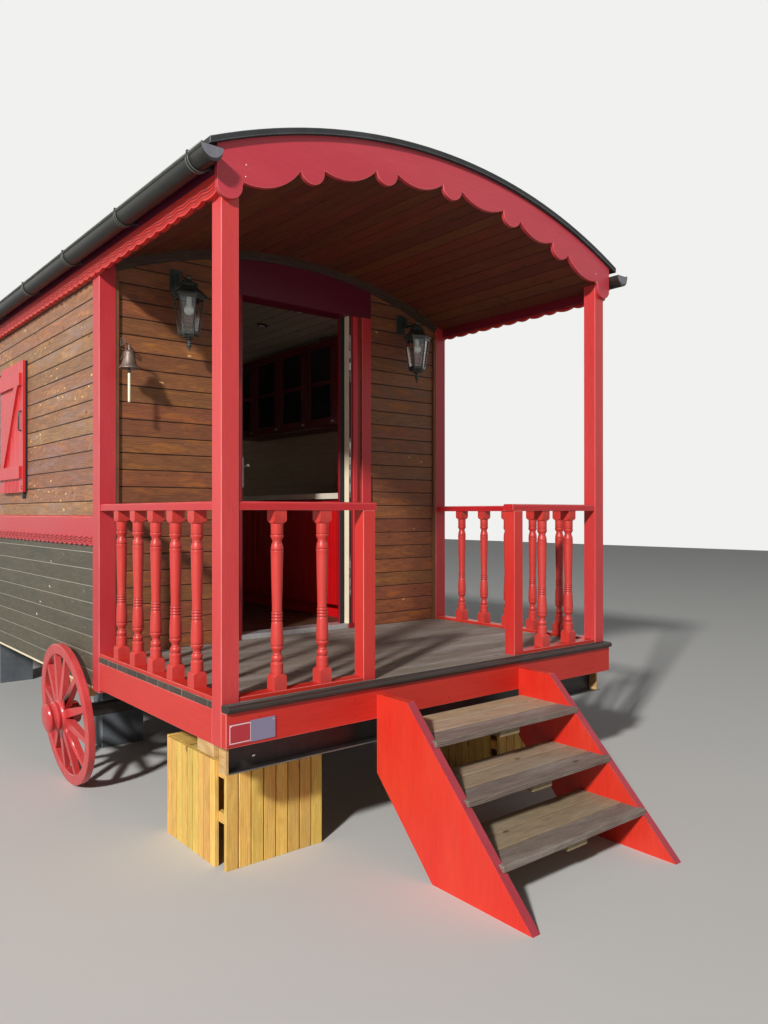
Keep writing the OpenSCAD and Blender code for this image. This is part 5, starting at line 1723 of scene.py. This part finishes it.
@dataclass
class ShutterFittings:
    """Black pull bars, butt hinges, bolts and catches of the four shutters.

    Attributes:
        face: half width of the hut over the shutters.
        gap: depth of the black sheet of painted shade behind a shutter's free edge, as its two faces.
        reach, hang: distance of a shutter's free edge and of its hung edge from the window.
        pull: the pull bar's route as distance from the face and height.
        bolts: the bolts' places from the shutter's free edge and its foot.
    """

    face: float = WALL + 0.036
    gap: tuple[float, float] = (WALL + 0.004, WALL + 0.019)
    reach: float = 0.568
    hang: float = 0.020
    pull: tuple[tuple[float, float], ...] = (
        (-0.002, 1.302), (0.010, 1.304), (0.015, 1.310), (0.015, 1.424), (0.010, 1.430), (-0.002, 1.432))
    bolts: tuple[tuple[float, float], ...] = ((0.030, 0.030), (0.022, 0.012), (0.042, 0.400), (0.042, 0.522))

    def edges(self) -> list[tuple[int, float, float, int]]:
        """Side of the hut, free edge, hung edge and the way from one to the other of each shutter."""
        found = []
        for _, sign, start in SIDES:
            end = start + WINDOW_WIDTH
            found += [(sign, start - self.reach, start - self.hang, 1), (sign, end + self.reach, end + self.hang, -1)]
        return found

    def build(self) -> None:
        """Bolts a pull, two butt hinges and a catch on each shutter."""
        pulls, hinges, heads, catches, gaps = [], [], [], [], []
        low, high = WINDOW_LOW, WINDOW_HIGH
        for sign, near, far, way in self.edges():
            pulls.append([(sign * (self.face + out), near + way * 0.042, z) for out, z in self.pull])
            outer = span(sign * (self.face - 0.002), sign * (self.face + 0.004))
            hinges += [(*outer, *span(far - way * 0.036, far + way * 0.012), z, z + 0.090)
                       for z in (low + 0.070, high - 0.160)]
            heads += [(sign * self.face, near + way * along, low + z) for along, z in self.bolts]
            gaps.append((*span(sign * self.gap[0], sign * self.gap[1]),
                         *span(near - way * 0.0012, near + way * 0.030), low - 0.008, high + 0.008))
            catches.append((*span(sign * self.gap[0], sign * (WALL + 0.030)),
                            *span(near + way * 0.030, near + way * 0.046), low - 0.052, low - 0.010))
        tubes("shutter_pulls", np.array(pulls), 0.005, (0, 1, 0), LANTERN_IRON, 10)
        # A black sheet behind each shutter's free edge: painted shade in the gap between shutter and wall.
        eased_boxes("shutter_gap_shade", gaps, BLACK_SEAL_AND_SHADE, "z", 0.0008)
        eased_boxes("shutter_hinges", hinges, LANTERN_IRON, "z", 0.0015)
        eased_boxes("shutter_catches", catches, LANTERN_IRON, "z", 0.004)
        places = np.array(heads)
        domes("shutter_bolts", places, np.sign(places) * [1, 0, 0], 0.0065, 0.004, LANTERN_IRON)


@dataclass
class Fixings:
    """Nail and screw heads that show on the red timbers, the deck and the steel.

    Attributes:
        barge_face, fascia_face: front faces of the bargeboard and of the fascia.
        end_nails: angle round the roof's centre and radius of the bare nails, on one side.
        painted_angles, painted_radii: the same for the painted nails.
        deck_screws, fascia_screws: places across the hut.
        fascia_rows: heights of the fascia's screws.
    """

    barge_face: float = -0.022
    fascia_face: float = -0.040
    end_nails: tuple[tuple[float, float], ...] = ((22.4, 3.019), (22.8, 2.976))
    painted_angles: tuple[float, ...] = (-15.0, -7.5, 0.0, 7.5, 15.0)
    painted_radii: tuple[float, ...] = (3.030, 3.090)
    deck_screws: tuple[float, ...] = (-0.8, -0.4, 0.0, 0.4, 0.8)
    fascia_screws: tuple[float, ...] = (-1.10, -0.62, -0.05, 0.62, 1.10)
    fascia_rows: tuple[float, ...] = (-0.060, -0.135)

    def on_bargeboard(self, nails: list[tuple[float, float]]) -> np.ndarray:
        """Points on the bargeboard's face at angles and radii: centre + r (sin a, cos a)."""
        angle, radius = np.radians([nail[0] for nail in nails]), np.array([nail[1] for nail in nails])
        return np.stack([radius * np.sin(angle), np.full(len(nails), self.barge_face),
                         ROOF_CENTRE + radius * np.cos(angle)], -1)

    def build(self) -> None:
        """Sets nails in the bargeboards, screws in the deck and the fascia, and a bolt in the channel."""
        forwards = (0, -1, 0)
        bare = [(sign * angle, radius) for sign in (-1, 1) for angle, radius in self.end_nails]
        domes("bargeboard_nails", self.on_bargeboard(bare), forwards, 0.003, 0.0012, SEAL)
        painted = [(angle, radius) for angle in self.painted_angles for radius in self.painted_radii]
        domes("painted_nails", self.on_bargeboard(painted), forwards, 0.0035, 0.0010, RED_X)
        joints = np.concatenate([[0.0], 0.1165 + 0.123 * np.arange(10)])
        x, y = np.meshgrid(self.deck_screws, np.concatenate([joints + 0.028, joints + 0.088]))
        deck = np.stack([x.ravel(), y.ravel(), np.full(x.size, -0.0004)], -1)
        domes("deck_screws", deck, (0, 0, 1), 0.0042, 0.0008, BLACK_STEEL)
        x, z = np.meshgrid(self.fascia_screws, self.fascia_rows)
        fascia = np.stack([x.ravel(), np.full(x.size, self.fascia_face), z.ravel()], -1)
        # Screw heads in the frame's dark red, darkened as painted shade.
        domes("fascia_screws", fascia, forwards, 0.004, 0.001, RED_DARK_SHADE)
        domes("channel_bolt", np.array([[-1.0657, 0.0695, -0.248]]), forwards, 0.011, 0.008, STEEL)
        eased_boxes("channel_end_plate", [1.190, 1.238, 0.0665, 0.0700, -0.2620, -0.1690], BLACK_STEEL, "z",
                    0.0006)
        # Pale lips on the channel's edges: a painted highlight.
        lips = [[1.238, 1.2425, 0.0655, 0.0705, -0.2620, -0.1690],
                [-1.204, 1.2425, 0.0185, 0.0205, -0.2900, -0.2845]]
        eased_boxes("channel_lips", lips, GUTTER_LIP_HIGHLIGHT, "x", 0.0006)


@dataclass
class Creases:
    """Dark lines of painted shade in the turned grooves of the balusters."""

    levels: tuple[tuple[float, float], ...] = (
        (0.1355, 0.0214), (0.1625, 0.0192), (0.2025, 0.0253), (0.3045, 0.0213), (0.3175, 0.0212),
        (0.3305, 0.0212), (0.3440, 0.0213), (0.6015, 0.0253), (0.6315, 0.0209), (0.6675, 0.0253))
    front: tuple[float, ...] = (0.740, 0.970)
    side_count: int = 5
    post: float = 0.080

    def build(self) -> None:
        """Rings of a 0.9 mm radius: middle + r (cos t, sin t), at each groove of each baluster."""
        middle = HALF - self.post / 2
        step = (PORCH - self.post) / (self.side_count + 1)
        right = [(x, self.post / 2) for x in self.front]
        right += [(middle, self.post + step * (k + 1)) for k in range(self.side_count)]
        places = np.array(right + [(-x, y) for x, y in right])
        turn = np.linspace(0, 2 * math.pi, 25)
        circle = np.stack([np.cos(turn), np.sin(turn), np.zeros(25)], -1)
        routes = [np.array([x, y, z]) + radius * circle for x, y in places for z, radius in self.levels]
        tubes("baluster_creases", np.array(routes), 0.0009, (0, 0, 1), GROOVE_SHADE_RED, 6)


@dataclass
class Rope:
    """Braided cotton bell rope that hangs straight down from the clapper."""

    route: tuple[tuple[float, float, float], ...] = (
        (-1.131, 1.245, 1.490), (-1.131, 1.245, 1.460), (-1.131, 1.245, 1.430), (-1.131, 1.245, 1.400),
        (-1.131, 1.245, 1.370), (-1.131, 1.245, 1.338))
    diameter: float = 0.014
    rings: int = 20
    sides: int = 16

    def build(self) -> bpy.types.Object:
        """Tube of rings along the route: place + r (cos a, sin a, 0), with a point every 8 mm."""
        route = np.array(self.route)
        count, sides = self.rings, self.sides
        heights = np.linspace(route[0, 2], route[-1, 2], count)
        angle = ring_angles(sides)
        radius = self.diameter / 2 * (1 - 0.04 * np.cos(np.arange(count) * math.pi)[:, None])
        points = np.stack([route[0, 0] + radius * np.cos(angle), route[0, 1] + radius * np.sin(angle),
                           np.broadcast_to(heights[:, None], (count, sides))], -1)
        piece = put_mesh("bell_rope_braid", points, prism_faces(1, sides, count, True), ROPE, smooth=True,
                         replaces=("bell_rope",))
        return piece


def main() -> None:
    """Builds the hut's looks in order, from the camera to the smallest fittings."""
    Camera().build()
    Rope().build()
    Studio().build()
    dress_nodes()
    for node, arris in TIMBERS.items():
        ease_node(node, arris)
    for part in (Siding(), Linings(), PorchFloor(), SupportSlats(), Mouldings(), GutterTrim(), Doorway(),
                 Kitchen(), SignPlate(), ShutterFittings(), Creases(), Fixings()):
        part.build()


if __name__ == "__main__":
    logging.basicConfig(level=logging.INFO, format="%(name)s %(message)s")
    main()
